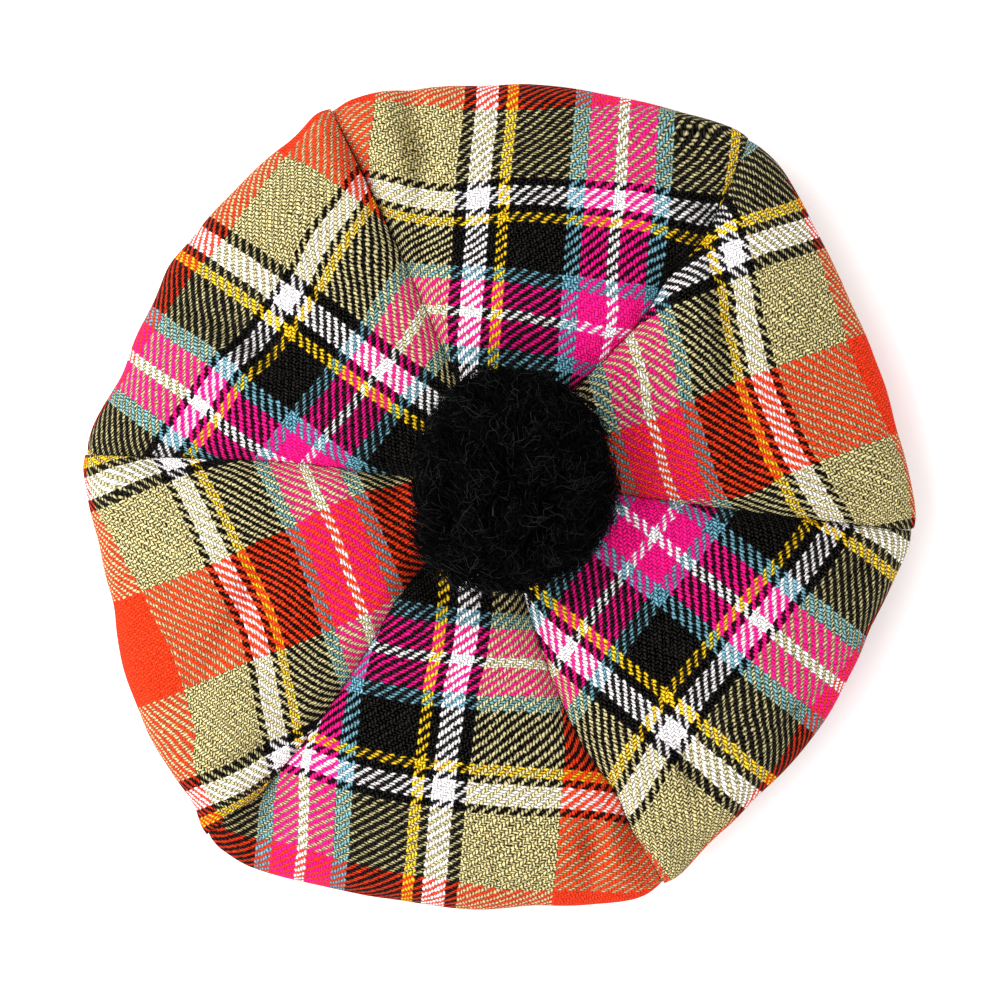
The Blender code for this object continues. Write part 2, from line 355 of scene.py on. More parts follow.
@dataclass(frozen=True)
class TartanCloth:
    """Wool woven in a two-and-two twill. Each thread passes over two and under two, one step on
    from its neighbour. The yarn map counts threads: the warp across, the weft along.

    The threads wander in wide sweeps and fray in short ones. over and roundness shape a float,
    weft_step says where the weft's floats lie, and warp_rise lets the warp show more. The base
    colour has a painted highlight on each float's back and painted shade in the gaps around it.
    bleed is how much of the yarn below shows through, and shade how much darker the cloth is
    over a dark yarn. Loose grey fibres lie over it in patches."""

    name: str
    lightness: float = 0.7
    relief_mm: float = 0.25
    wander_threads: float = 0.6
    wander_fineness: float = 0.11
    fray_threads: float = 1.7
    fray_fineness: float = 0.75
    over: float = 0.5
    weft_step: float = 3.0
    warp_rise: float = 0.17
    roundness: float = 0.88
    edge_sharpness: float = 6.0
    valley_width: float = 0.15
    # From gap_height to least_tone: the painted shade in the gaps between floats and the painted highlight
    # on their backs.
    gap_height: float = -0.32
    height_gain: float = 1.28
    painted_gap_shade: float = 0.03
    painted_float_highlight: float = 2.3
    lit_bend: float = 2.3
    least_tone: float = 0.05
    float_unevenness: float = 0.3
    fluff: float = 1.1
    fluff_fineness: float = 1.6
    bleed: float = 0.22
    shade: float = 0.42
    shade_bend: float = 0.4
    fibre_colour: tuple[float, float, float] = colour(99, 98, 95)
    fibre_cover: float = 0.16
    fibre_fineness: float = 0.45
    fibre_curl: float = 1.6
    fibre_thinness: float = 70.0
    patch_fineness: float = 0.13
    patch_contrast: float = 6.0
    roughness: float = 0.95
    sheen: float = 0.034
    sheen_roughness: float = 0.3
    specular: float = 0.0

    def material(self) -> bpy.types.Material:
        """Makes the cloth's material.

        Returns:
            The material.
        """
        shop = NodeShop(self.name)
        place = shop.wire(shop.node("ShaderNodeUVMap", {"uv_map": YARN_MAP}))
        across, along = self.threads(shop, place)
        warp = across.maths("FLOOR")
        weft = along.maths("FLOOR")
        warp_face = self.face(along - warp, across - warp) + self.warp_rise
        weft_face = self.face(across - weft - self.weft_step, along - weft)
        on_top = ((warp_face - weft_face) * self.edge_sharpness + 0.5).clamped()
        height = warp_face.maths("SMOOTH_MAX", weft_face, self.valley_width)
        yarns = self.yarn(shop, weft, WEFT), self.yarn(shop, warp, WARP)
        colours = [shop.wire(yarn, "Color") for yarn in yarns]
        painted_light_and_grain_strengths = [shop.wire(yarn, "Alpha") for yarn in yarns]
        own = painted_light_and_grain_strengths[0] + (painted_light_and_grain_strengths[1] - painted_light_and_grain_strengths[0]) * on_top
        painted_light_and_grain_strength = (own + painted_light_and_grain_strengths[0].maths("MINIMUM", painted_light_and_grain_strengths[1])) * 0.5
        top = shop.mix(on_top, colours[0], colours[1])
        under = shop.mix(on_top, colours[1], colours[0])
        brightness = shop.brightness(under)
        tint = shop.mix(1.0, under, shop.grey(brightness), "DIVIDE")
        shadow = 1.0 - (1.0 - brightness.maths("POWER", self.shade_bend)) * self.shade
        # The tone paints shade into the gaps and highlights onto the floats, with the yarns' grain, into
        # the base colour.
        tone = self.tone(shop, place, warp, weft, height, painted_light_and_grain_strength) * shadow * self.lightness
        base = shop.mix(self.bleed, top, tint, "MULTIPLY")
        base = shop.mix(1.0, base, shop.grey(tone), "MULTIPLY")
        base = shop.mix(self.fibres(shop, place), base, (*self.fibre_colour, 1.0))
        bumps = {"Strength": 1.0, "Distance": self.relief_mm * MM, "Height": height}
        return shop.finish(
            {
                "Base Color": base,
                "Roughness": self.roughness,
                "Specular IOR Level": self.specular,
                "Sheen Weight": self.sheen,
                "Sheen Roughness": self.sheen_roughness,
                "Normal": shop.wire(shop.node("ShaderNodeBump", {}, bumps)),
            }
        )

    def threads(self, shop: NodeShop, place: Wire) -> tuple[Wire, Wire]:
        """Where a place is, counted in threads that stray a little.

        Args:
            shop: The material's nodes.
            place: The yarn map.

        Returns:
            Its place across the warp and along it.
        """
        split = shop.node("ShaderNodeSeparateXYZ", {}, (place,))
        wander = self.pair(shop, place, self.wander_fineness)
        fray = self.pair(shop, place, self.fray_fineness)
        across, along = (
            shop.wire(split, axis) + wander[number] * self.wander_threads + fray[number] * self.fray_threads
            for number, axis in enumerate(("X", "Y"))
        )
        return across, along

    @staticmethod
    def pair(shop: NodeShop, place: Wire, fineness: float) -> tuple[Wire, Wire]:
        """Two independent noises.

        Args:
            shop: The material's nodes.
            place: The yarn map.
            fineness: How many lumps there are to one thread.

        Returns:
            Two numbers around 0.
        """
        sizes = {"Vector": place, "Scale": fineness, "Detail": 2.0}
        channels = shop.wire(shop.node("ShaderNodeTexNoise", {}, sizes), "Color")
        split = shop.node("ShaderNodeSeparateXYZ", {}, (channels,))
        return shop.wire(split, "X") - 0.5, shop.wire(split, "Y") - 0.5

    def face(self, along: Wire, across: Wire) -> Wire:
        """How high a thread's face lies.

        Args:
            along: How far along the thread from the middle of a float, in threads.
            across: How far across the thread, 0 to 1.

        Returns:
            The height, about -1.4 to 0.5.
        """
        float_height = (along * (math.pi / 2)).maths("COSINE")
        off_middle = across * 2.0 - 1.0
        return float_height * self.over - off_middle * off_middle * self.roundness

    @staticmethod
    def yarn(shop: NodeShop, thread: Wire, sett: Sett) -> bpy.types.Node:
        """The ramp that gives a thread its yarn.

        Args:
            shop: The material's nodes.
            thread: The thread's number.
            sett: The half repeat that the threads follow.

        Returns:
            A node with the yarn's colour, and the strength of its painted shade, highlights and grain for
            alpha.
        """
        folded = (thread + 0.5).maths("PINGPONG", float(sett.half)) * (1.0 / sett.half)
        settings = {"interpolation": "CONSTANT", "stops": sett.stops()}
        return shop.node("ShaderNodeValToRGB", settings, (folded,))

    def tone(
        self, shop: NodeShop, place: Wire, warp: Wire, weft: Wire, height: Wire, painted_light_and_grain_strength: Wire
    ) -> Wire:
        """How light the cloth is: painted shade in its gaps, painted highlights on its floats, uneven
        yarns.

        Args:
            shop: The material's nodes.
            place: The yarn map.
            warp: The warp thread's number.
            weft: The weft thread's number.
            height: The height of the face.
            painted_light_and_grain_strength: How strongly the yarn shows its painted shade and grain.

        Returns:
            A factor near 1.
        """
        pair = shop.wire(shop.node("ShaderNodeCombineXYZ", {}, (warp, weft, 0.0)))
        spot = shop.node("ShaderNodeTexWhiteNoise", {"noise_dimensions": "2D"}, {"Vector": pair})
        own = (shop.wire(spot) - 0.5) * self.float_unevenness
        uneven = own + (shop.noise(place, self.fluff_fineness, 2.0) - 0.5) * self.fluff + 1.0
        # Painted shade where the face lies low, in the gaps, and a painted highlight where it lies high, on
        # the floats' backs.
        lit = ((height - self.gap_height) * self.height_gain).clamped().maths("POWER", self.lit_bend)
        shown = (lit * self.painted_float_highlight + self.painted_gap_shade) * uneven
        return (painted_light_and_grain_strength * (shown - 1.0) + 1.0).maths("MAXIMUM", self.least_tone)

    def fibres(self, shop: NodeShop, place: Wire) -> Wire:
        """Loose fibres over the cloth, as the contour lines of a stirred pattern.

        Args:
            shop: The material's nodes.
            place: The yarn map.

        Returns:
            How much of the cloth they cover at a place.
        """
        line = (shop.noise(place, self.fibre_fineness, 1.0, self.fibre_curl) - 0.5).maths("ABSOLUTE")
        thin = (1.0 - line * self.fibre_thinness).clamped()
        patch = ((shop.noise(place, self.patch_fineness, 2.0) - 0.5) * self.patch_contrast).clamped()
        return thin * patch * self.fibre_cover


@dataclass(frozen=True)
class PompomYarn:
    """Cut black wool yarn. The strand tone of a mesh says how light each of its strands is; the light ones
    are painted highlights.
    """

    name: str
    shade: tuple[float, float, float] = colour(38, 38, 39)
    core_tone: float = 0.02
    roughness: float = 1.0
    specular: float = 0.0

    def material(self) -> bpy.types.Material:
        """Makes the yarn's material.

        Returns:
            The material.
        """
        shop = NodeShop(self.name)
        tone = shop.wire(shop.node("ShaderNodeAttribute", {"attribute_name": STRAND_TONE}), "Fac")
        grey = shop.grey(tone + self.core_tone)
        return shop.finish(
            {
                "Base Color": shop.mix(1.0, (*self.shade, 1.0), grey, "MULTIPLY"),
                "Roughness": self.roughness,
                "Specular IOR Level": self.specular,
            }
        )


@dataclass(frozen=True)
class PaleFloor:
    """A plain white surface."""

    name: str = "pale_floor"
    shade: tuple[float, float, float] = (0.97, 0.97, 0.97)
    roughness: float = 0.9

    def material(self) -> bpy.types.Material:
        """Makes the floor's material."""
        shop = NodeShop(self.name)
        return shop.finish({"Base Color": (*self.shade, 1.0), "Roughness": self.roughness})


# ---------------------------------------------------------------------------------------------
# The crown's shape


@dataclass(frozen=True)
class SectionRow:
    """One place of the section of the crown, from the pompom over the rim to the headband.
    seam_drop is how much lower a seam lies than the middle of its gores."""

    name: str
    radius: float
    height: float
    seam_drop: float


@dataclass(frozen=True)
class Kink:
    """A short step of a seam to its left, at a share of its way out."""

    share: float
    spread: float
    step: float


@dataclass(frozen=True)
class Tuck:
    """Where, at a share of a seam's way out, the gore to its left lies lower than the one to its
    right, or higher if the depth is negative."""

    share: float
    spread: float
    depth: float


@dataclass(frozen=True)
class Seam:
    """A seam from the meeting point to the rim, which it reaches at an angle around the hat. bow
    is how far it swings to its left at bow_peak of its way out."""

    name: str
    angle: float
    bow: float
    bow_peak: float
    kinks: tuple[Kink, ...] = ()
    tucks: tuple[Tuck, ...] = ()


@dataclass(frozen=True)
class RimMark:
    """How far the rim reaches from the middle of the hat in one direction."""

    angle: float
    radius: float


@dataclass(frozen=True)
class Fold:
    """A long soft dent of the cloth, or a swelling where its depth is negative. turn is the
    direction of its length."""

    name: str
    x: float
    y: float
    turn: float
    length: float
    width: float
    depth: float


@dataclass(frozen=True)
class YarnLine:
    """A line over a gore, and the threads that it crosses. place_px is how far out a line across
    the gore lies, or how far clockwise a line out along the gore lies. marks holds thread numbers,
    counted from the middle of the thin white stripe, and for each its place on the line in px."""

    place_px: float
    marks: dict[float, float]


@dataclass(frozen=True)
class Gore:
    """One gore and how the tartan lies on it. It follows the seam of the same number. rim_lift is
    how much higher its rim lies midway, and axis the direction of its warp from the seams' meeting
    point. Its warp marks are on lines across it, and its weft marks on lines out along it."""

    name: str
    rim_lift: float
    axis: float
    warp_marks: tuple[YarnLine, ...]
    weft_marks: tuple[YarnLine, ...]

    @property
    def directions(self) -> np.ndarray:
        """Clockwise of its axis and out along it, as seen from above, one column each."""
        turn = math.radians(self.axis)
        return np.array(((math.sin(turn), math.cos(turn)), (-math.cos(turn), math.sin(turn))))


SEAMS = (
    Seam("upper_right", 55.2, -9.0, 0.62, (Kink(0.61, 0.075, 2.3),), (Tuck(0.66, 0.2, 1.4),)),
    Seam("upper_left", 113.6, -1.5, 0.44, tucks=(Tuck(0.8, 0.2, -3.8),)),
    Seam("left", 174.2, -1.0, 0.30, (Kink(0.24, 0.15, 2.8),), (Tuck(0.75, 0.2, -1.4),)),
    Seam(
        "lower_left",
        229.1,
        6.0,
        0.72,
        (Kink(0.33, 0.1, -1.3), Kink(0.87, 0.035, 1.3)),
        (Tuck(0.87, 0.09, 3.4),),
    ),
    Seam("lower", 293.0, -8.5, 0.50, (Kink(0.755, 0.085, 2.4),), (Tuck(0.87, 0.1, -3.2),)),
    Seam("right", 355.3, -1.0, 0.50, tucks=(Tuck(0.84, 0.14, -2.8),)),
)

RIM = tuple(
    RimMark(angle, radius)
    for angle, radius in (
        (0, 141.0), (10, 137.2), (20, 135.9), (30, 136.8), (40, 140.3), (50, 148.2), (56, 149.6),
        (65, 144.7), (75, 142.0), (90, 139.7), (100, 141.2), (108, 144.5), (115, 146.2), (120, 141.6),
        (130, 138.3), (140, 136.9), (145, 138.0), (151, 135.4), (162, 135.5), (170, 141.4), (175, 142.9),
        (180, 140.6), (187, 136.9), (196, 136.0), (205, 141.2), (215, 145.1), (225, 146.8), (229, 153.6),
        (235, 153.6), (245, 145.8), (255, 141.8), (265, 140.9), (275, 140.0), (290, 145.1), (295, 143.4),
        (302, 137.7), (310, 134.4), (325, 134.4), (340, 133.4), (350, 137.9), (355, 141.8),
    )
)

GORES = (
    Gore(
        "gore_1",
        1.5,
        86.0,
        warp_marks=(
            YarnLine(155, {0: 106}),
            YarnLine(160, {-53: -47, -45: -24, -42: -16, -38: -4, -18: 54}),
            YarnLine(230, {-53: -47, -45: -24, -42: -15, -38: -4.5, -18: 54, 0: 102}),
            YarnLine(300, {-88: -150, -57: -59, -53: -48, -38: -5, -18: 53, 0: 105, 18: 156}),
            YarnLine(312, {40: 217}),
            YarnLine(330, {40: 219.5}),
            YarnLine(352, {40: 216.5}),
            YarnLine(360, {-88: -146, -57: -56, -45: -23, -38: -3, -18: 54, 0: 104, 18: 155}),
        ),
        weft_marks=(
            YarnLine(-146, {41: 264, 50: 281, 57: 297, 88: 367}),
            YarnLine(-120, {41: 257, 50: 274.5, 57: 290}),
            YarnLine(-110, {88: 366}),
            YarnLine(-100, {16: 202, 41: 253.5, 50: 271, 57: 287}),
            YarnLine(-80, {16: 200, 41: 249, 50: 268, 57: 283.5}),
            YarnLine(-60, {0: 163, 16: 201, 41: 250, 50: 270, 57: 285.5, 88: 361}),
            YarnLine(-40, {16: 202.5, 41: 254, 50: 274}),
            YarnLine(-20, {41: 259, 50: 278}),
            YarnLine(0, {0: 162.5, 13: 195, 19: 209, 41: 263.5, 50: 282.5, 57: 298, 88: 366}),
            YarnLine(60, {0: 157, 13: 190, 19: 205, 41: 262, 50: 284, 57: 300, 88: 373}),
            YarnLine(110, {0: 150, 13: 186, 41: 261, 50: 286, 57: 299, 88: 381}),
            YarnLine(158, {41: 258, 50: 283, 57: 298, 88: 386}),
            YarnLine(184, {41: 243, 50: 272, 57: 295, 88: 388}),
        ),
    ),
    Gore(
        "gore_2",
        -1.5,
        148.0,
        warp_marks=(
            YarnLine(160, {38: 0, 42: 12, 45: 20, 53: 44}),
            YarnLine(230, {0: -105, 12: -67, 18: -51, 38: 5, 42: 17, 45: 27, 53: 52, 57: 62}),
            YarnLine(234, {88: 163.7}),
            YarnLine(290, {88: 163}),
            YarnLine(300, {-18: -148, 0: -95, 18: -40, 38: 10, 45: 31, 57: 66, 88: 165}),
            YarnLine(355, {88: 160}),
            YarnLine(360, {-38: -195, 0: -92, 18: -38, 38: 15, 42: 26, 45: 34, 53: 57}),
            YarnLine(374, {49: 41.5}),
        ),
        weft_marks=(
            YarnLine(-110, {41: 266, 50: 289, 57: 307}),
            YarnLine(-60, {0: 166, 13: 194, 41: 264, 50: 288}),
            YarnLine(0, {0: 158, 13: 186, 41: 250, 50: 270, 57: 290, 88: 364}),
            YarnLine(60, {0: 147, 13: 181, 19: 195, 41: 248, 50: 268, 57: 285, 88: 354}),
            YarnLine(110, {13: 181, 19: 195, 41: 252, 50: 272, 57: 291, 88: 352}),
            YarnLine(163, {41: 251, 50: 267, 57: 284}),
        ),
    ),
    Gore(
        "gore_3",
        2.5,
        200.0,
        warp_marks=(
            YarnLine(160, {88: -86, 126: 29}),
            YarnLine(230, {88: -90, 126: 20}),
            YarnLine(299, {49: -194}),
            YarnLine(300, {88: -91, 126: 13}),
            YarnLine(350, {40: -222.6}),
            YarnLine(360, {45: -215, 57: -181, 88: -95, 126: 12, 157: 105, 169: 140}),
            YarnLine(384, {40: -226.2}),
            YarnLine(388, {49: -199.5}),
        ),
        weft_marks=(
            YarnLine(-195, {50: 299}),
            YarnLine(-173, {88: 383}),
            YarnLine(-160, {50: 294}),
            YarnLine(-140, {50: 292, 57: 303}),
            YarnLine(-125, {88: 369}),
            YarnLine(-110, {13: 203, 19: 219, 41: 268, 50: 287, 57: 299, 88: 365}),
            YarnLine(-95, {50: 282.5, 57: 295}),
            YarnLine(-80, {41: 263, 50: 277.5, 57: 291}),
            YarnLine(-60, {0: 171, 13: 202, 41: 260, 50: 275.5, 57: 290, 88: 364}),
            YarnLine(-40, {41: 258.5, 50: 276.5, 57: 292.5}),
            YarnLine(-20, {50: 284, 57: 298}),
            YarnLine(0, {0: 171, 13: 200, 41: 263, 50: 287, 57: 303, 88: 370}),
            YarnLine(60, {0: 176, 13: 206, 19: 220, 41: 269, 50: 290, 57: 306, 88: 378}),
            YarnLine(110, {41: 277, 50: 299, 57: 311, 88: 388}),
        ),
    ),
    Gore(
        "gore_4",
        -1.0,
        264.0,
        warp_marks=(
            YarnLine(160, {-53: 0, -45: 22, -42: 33, -38: 45}),
            YarnLine(230, {-53: 6, -45: 28, -42: 38, -38: 50, -18: 110, -12: 127}),
            YarnLine(300, {-88: -100, -45: 31, -42: 38, -38: 50, -18: 110, 0: 160}),
            YarnLine(318, {0: 160}),
            YarnLine(335, {12: 191, 18: 198.7}),
            YarnLine(354, {12: 188, 18: 198.4}),
            YarnLine(360, {-88: -102, -57: -5, -45: 30, -38: 51, -18: 108, 0: 157}),
            YarnLine(371, {12: 184.2, 18: 197.5}),
            YarnLine(385, {0: 155, 12: 183.6, 18: 197.5}),
            YarnLine(400, {18: 198}),
            YarnLine(412, {0: 149, 15: 189}),
        ),
        weft_marks=(
            YarnLine(-110, {19: 222, 41: 289, 50: 313, 57: 331}),
            YarnLine(-60, {0: 184, 13: 216, 19: 231, 41: 291, 50: 316, 57: 337, 88: 413}),
            YarnLine(0, {0: 187, 13: 220, 19: 235, 41: 293, 50: 318, 57: 337, 88: 408}),
            YarnLine(60, {0: 187, 13: 220, 19: 236, 41: 294, 50: 317, 57: 334, 88: 405}),
            YarnLine(110, {13: 215, 41: 289, 50: 311, 57: 328, 88: 399}),
            YarnLine(160, {41: 279, 50: 300, 57: 318, 88: 387}),
            YarnLine(238, {88: 379}),
        ),
    ),
    Gore(
        "gore_5",
        1.5,
        323.0,
        warp_marks=(
            YarnLine(160, {0: -49, 12: -12, 18: 5, 38: 62, 42: 76}),
            YarnLine(230, {-18: -99, 0: -46, 12: -10, 18: 6, 38: 66, 42: 78, 53: 108, 57: 120}),
            YarnLine(300, {-38: -155, -18: -98, 0: -43, 18: 11, 38: 67, 45: 88, 57: 122}),
            YarnLine(360, {-38: -155, -18: -97, 0: -40, 18: 13, 38: 70, 57: 126, 88: 212}),
            YarnLine(386, {88: 226}),
        ),
        weft_marks=(
            YarnLine(-110, {19: 215, 41: 279, 50: 304}),
            YarnLine(-60, {0: 165, 13: 198, 19: 212, 41: 275, 50: 300, 57: 320}),
            YarnLine(0, {0: 163, 13: 196, 19: 210, 41: 272, 50: 297, 57: 315, 88: 396}),
            YarnLine(60, {0: 164, 13: 196, 19: 209, 41: 269, 50: 294, 57: 312, 88: 401}),
            YarnLine(110, {0: 165, 13: 197, 41: 271, 50: 297, 57: 317, 88: 403}),
            YarnLine(178, {50: 302}),
        ),
    ),
    Gore(
        "gore_6",
        -2.0,
        18.0,
        warp_marks=(
            YarnLine(160, {88: -4, 126: 85}),
            YarnLine(230, {88: -12, 126: 97}),
            YarnLine(300, {53: -123, 45: -151.5, 38: -171, 88: -16, 126: 87}),
            YarnLine(320, {53: -130, 45: -151, 38: -171}),
            YarnLine(340, {53: -128.5, 45: -150.5, 38: -169.5}),
            YarnLine(360, {38: -168, 45: -147, 53: -126, 88: -18, 126: 85, 157: 170}),
        ),
        weft_marks=(
            YarnLine(-140, {50: 298.5}),
            YarnLine(-110, {19: 221, 41: 277, 50: 294, 57: 306, 88: 375}),
            YarnLine(-60, {0: 173, 13: 206, 19: 221, 41: 267, 50: 286, 57: 301, 88: 376}),
            YarnLine(0, {0: 166, 13: 198, 19: 212, 41: 262, 50: 282, 57: 300, 88: 376}),
            YarnLine(60, {0: 163, 13: 195, 41: 265, 50: 287, 57: 306, 88: 384}),
            YarnLine(90, {88: 392}),
            YarnLine(110, {41: 273, 50: 298, 57: 316, 88: 395}),
            YarnLine(147, {46: 296, 54: 322}),
        ),
    ),
)


@dataclass
class CrownShape:
    """The settled shape of the crown: one section, carried round between the seams.

    Places are counted along the rows of the section, and rim_place is the rim's. A higher
    gore_roundness makes a gore flatter in its middle. rim_smoothing takes shares of the rim's
    reach at steps to both sides, in degrees. The lift of a gore's rim fades over rim_lift_reach
    places, and the folds end at fold_end_place."""

    meeting: tuple[float, float] = (-1.7, 7.0)
    rim_place: int = 6
    gore_roundness: float = 2.2
    rim_smoothing: tuple[tuple[float, float], ...] = ((-2, 0.1), (-1, 0.25), (0, 0.3), (1, 0.25), (2, 0.1))
    rim_lift_reach: float = 2.0
    fold_end_place: float = 5.5
    fold_end_sharpness: float = 4.0
    small_step: float = 0.01
    steps_to_a_row: int = 40
    steps_to_the_rim: int = 120
    section: tuple[SectionRow, ...] = (
        SectionRow("apex_hole", 6.5, 57.0, 0.1),
        SectionRow("under_pompom", 28.0, 57.2, 1.0),
        SectionRow("crown", 60.0, 59.2, 4.6),
        SectionRow("outer_crown", 90.0, 57.6, 6.4),
        SectionRow("shoulder", 115.0, 52.0, 5.6),
        SectionRow("upper_rim", 133.5, 42.0, 2.8),
        SectionRow("rim", 140.0, 28.5, 0.0),
        SectionRow("lower_rim", 134.0, 15.5, -1.5),
        SectionRow("underside", 118.0, 9.6, -2.0),
        SectionRow("beside_band", 103.0, 14.0, -1.0),
        SectionRow("band_edge", 92.3, 23.5, 0.0),
    )
    folds: tuple[Fold, ...] = (
        Fold("crease beside the upper left seam", -50.5, 117, 112, 18, 4.2, 3.4),
        Fold("fold in the top gore", -28.5, 122, 98, 19, 4.4, 10.0),
        Fold("fold beside the upper left seam", -25.5, 85, 106, 16, 5.5, 4.2),
        Fold("dent at the top gore's upper right seam", 69, 101, 148, 8, 3.5, 4.5),
        Fold("dent at the top gore's right end", 62, 113, 30, 13, 5, 3.6),
        Fold("dent in the left gore", -86, -36, 60, 24, 4.5, 4.6),
        Fold("puff by the pompom", -36, 62, 140, 28, 16, -2.2),
        Fold("dent in the lower right gore", 103, -74.5, 45, 10, 3.8, 7.0),
        Fold("crease by the lower right cross", 64, -92, 113, 11, 3.2, 5.0),
        Fold("dent under the right seam", 103, -13, 175, 11, 3.6, 3.2),
        Fold("dent at the right corner", 125, -25, 35, 12, 4.5, 6.6),
        Fold("dent above the right seam", 120, 2.5, 176, 13, 3.6, 3.2),
        Fold("puff in the lower left corner", -98, -84, 45, 26, 14, -2.2),
        Fold("crease by the lower left seam", -81, -85, 25, 13, 3.0, 3.2),
        Fold("dent in the lower left corner", -79.5, -109.5, 55, 13, 8, 8.6),
        Fold("crease at the left seam", -116, 11, 177, 14, 3.4, 2.8),
        Fold("valley in the right gore", 75.5, 57, 98, 27, 4.2, 8.4),
        Fold("dent in the right gore", 112, 34, 110, 30, 10, 1.8),
        Fold("dent in the bottom gore", 31, -120, 90, 11, 4.0, 7.0),
        Fold("crease beside the lower seam", 46.5, -122, 120, 13, 4.2, 3.0),
        Fold("swelling beside the lower seam", 54, -118, 120, 14, 5, -1.6),
        Fold("dip above the pompom", 5, 45, 10, 13, 7, 6.5),
        Fold("dip at the pompom's lower left", -21, -28, 310, 11, 7, 7.0),
        Fold("dip below the pompom", 0, -33, 0, 14, 7, 7.2),
        Fold("dip at the pompom's lower right", 23, -27, 30, 11, 7, 6.0),
        Fold("dip at the pompom's left", -34, 3, 95, 11, 6, 4.0),
        Fold("dip at the pompom's upper right", 29, 36, 130, 10, 7, 4.0),
        Fold("dent in the upper left gore", -85.7, 53, 148, 21, 3.8, 6.6),
    )

    @property
    def last_place(self) -> int:
        """The place of the section's last row."""
        return len(self.section) - 1

    @property
    def rim_radius(self) -> float:
        """The section's radius at the rim."""
        return self.section[self.rim_place].radius

    def section_at(self, place: np.ndarray) -> np.ndarray:
        """The section on a smooth curve through its rows.

        Args:
            place: Places along the section, counted in rows.

        Returns:
            Radius, height and seam drop, one row for each place.
        """
        rows = np.array([(row.radius, row.height, row.seam_drop) for row in self.section])
        place = np.asarray(place, dtype=float)
        row = np.minimum(place.astype(int), self.last_place - 1)
        t = (place - row)[..., None]
        weights = (
            (-t + 2 * t**2 - t**3) / 2,
            (2 - 5 * t**2 + 3 * t**3) / 2,
            (t + 4 * t**2 - 3 * t**3) / 2,
            (-(t**2) + t**3) / 2,
        )
        around = (rows[np.clip(row + step, 0, self.last_place)] for step in (-1, 0, 1, 2))
        return sum(weight * sizes for weight, sizes in zip(weights, around))

    def cloth_length(self, place: np.ndarray) -> np.ndarray:
        """How much cloth lies between the meeting point and places of the section.

        Args:
            place: Places along the section, counted in rows.

        Returns:
            The length of cloth in mm, for each place.
        """
        fine = np.linspace(0, self.last_place, self.steps_to_a_row * self.last_place + 1)
        radius, height, _ = self.section_at(fine).T
        steps = np.hypot(np.diff(radius), np.diff(height))
        lengths = radius[0] + np.concatenate(((0,), np.cumsum(steps)))
        return np.interp(place, fine, lengths)

    def cloth_ratio(self, share: np.ndarray) -> np.ndarray:
        """How much longer the cloth is than its way out as seen from above.

        Args:
            share: Shares of the way from the meeting point to the rim.

        Returns:
            Cloth length over radius, for each share.
        """
        places = np.linspace(0, self.rim_place, self.steps_to_the_rim + 1)
        radius = self.section_at(places)[:, 0]
        return np.interp(share, radius / self.rim_radius, self.cloth_length(places) / radius)

    def rim_angle(self, gore: int, across: np.ndarray) -> np.ndarray:
        """Directions from the middle of the hat to a gore's rim.

        Args:
            gore: The gore's number, from 0.
            across: Shares of the way across it.

        Returns:
            The directions in radians.
        """
        start = math.radians(SEAMS[gore].angle)
        end = math.radians(SEAMS[(gore + 1) % len(SEAMS)].angle)
        return start + across * ((end - start) % math.tau)

    def rim_at(self, angle: np.ndarray) -> np.ndarray:
        """Points of the rim.

        Args:
            angle: Their directions from the middle of the hat, in radians.

        Returns:
            x and y, one row for each point.
        """
        marks = np.array([(mark.angle, mark.radius) for mark in RIM])
        turn = np.degrees(angle)
        radius = sum(
            share * np.interp(turn + step, *marks.T, period=360) for step, share in self.rim_smoothing
        )
        return np.stack((radius * np.cos(angle), radius * np.sin(angle)), axis=-1)

    def rim_point(self, gore: int, across: np.ndarray) -> np.ndarray:
        """Points of the rim at shares of the way across a gore, x and y from above."""
        return self.rim_at(self.rim_angle(gore, across))

    def rim_beyond(self, gore: int, angle: np.ndarray) -> np.ndarray:
        """Points of one gore's rim. A direction outside the gore finds the nearer end of its rim.

        Args:
            gore: The gore's number, from 0.
            angle: Their directions from the middle of the hat, in radians.

        Returns:
            x and y from the seams' meeting point, one row for each point.
        """
        start, end = self.rim_angle(gore, np.array((0.0, 1.0)))
        off = (angle - start + math.pi) % math.tau - math.pi
        across = np.clip(off / (end - start), 0, 1)
        return self.rim_point(gore, across) - self.meeting

    def seam_bow(self, seam: Seam, share: np.ndarray) -> np.ndarray:
        """How far a seam lies beside the straight line to its end.

        Args:
            seam: The seam.
            share: Shares of its way out.

        Returns:
            Its step in x and y, one row for each share.
        """
        reach = self.rim_at(np.array(math.radians(seam.angle))) - self.meeting
        sideways = np.array((-reach[1], reach[0])) / np.hypot(*reach)
        to_peak = math.log(0.5) / math.log(seam.bow_peak)
        step = seam.bow * np.sin(math.pi * share**to_peak)
        for kink in seam.kinks:
            step = step + kink.step * np.exp(-(((share - kink.share) / kink.spread) ** 2))
        return sideways * step[..., None]

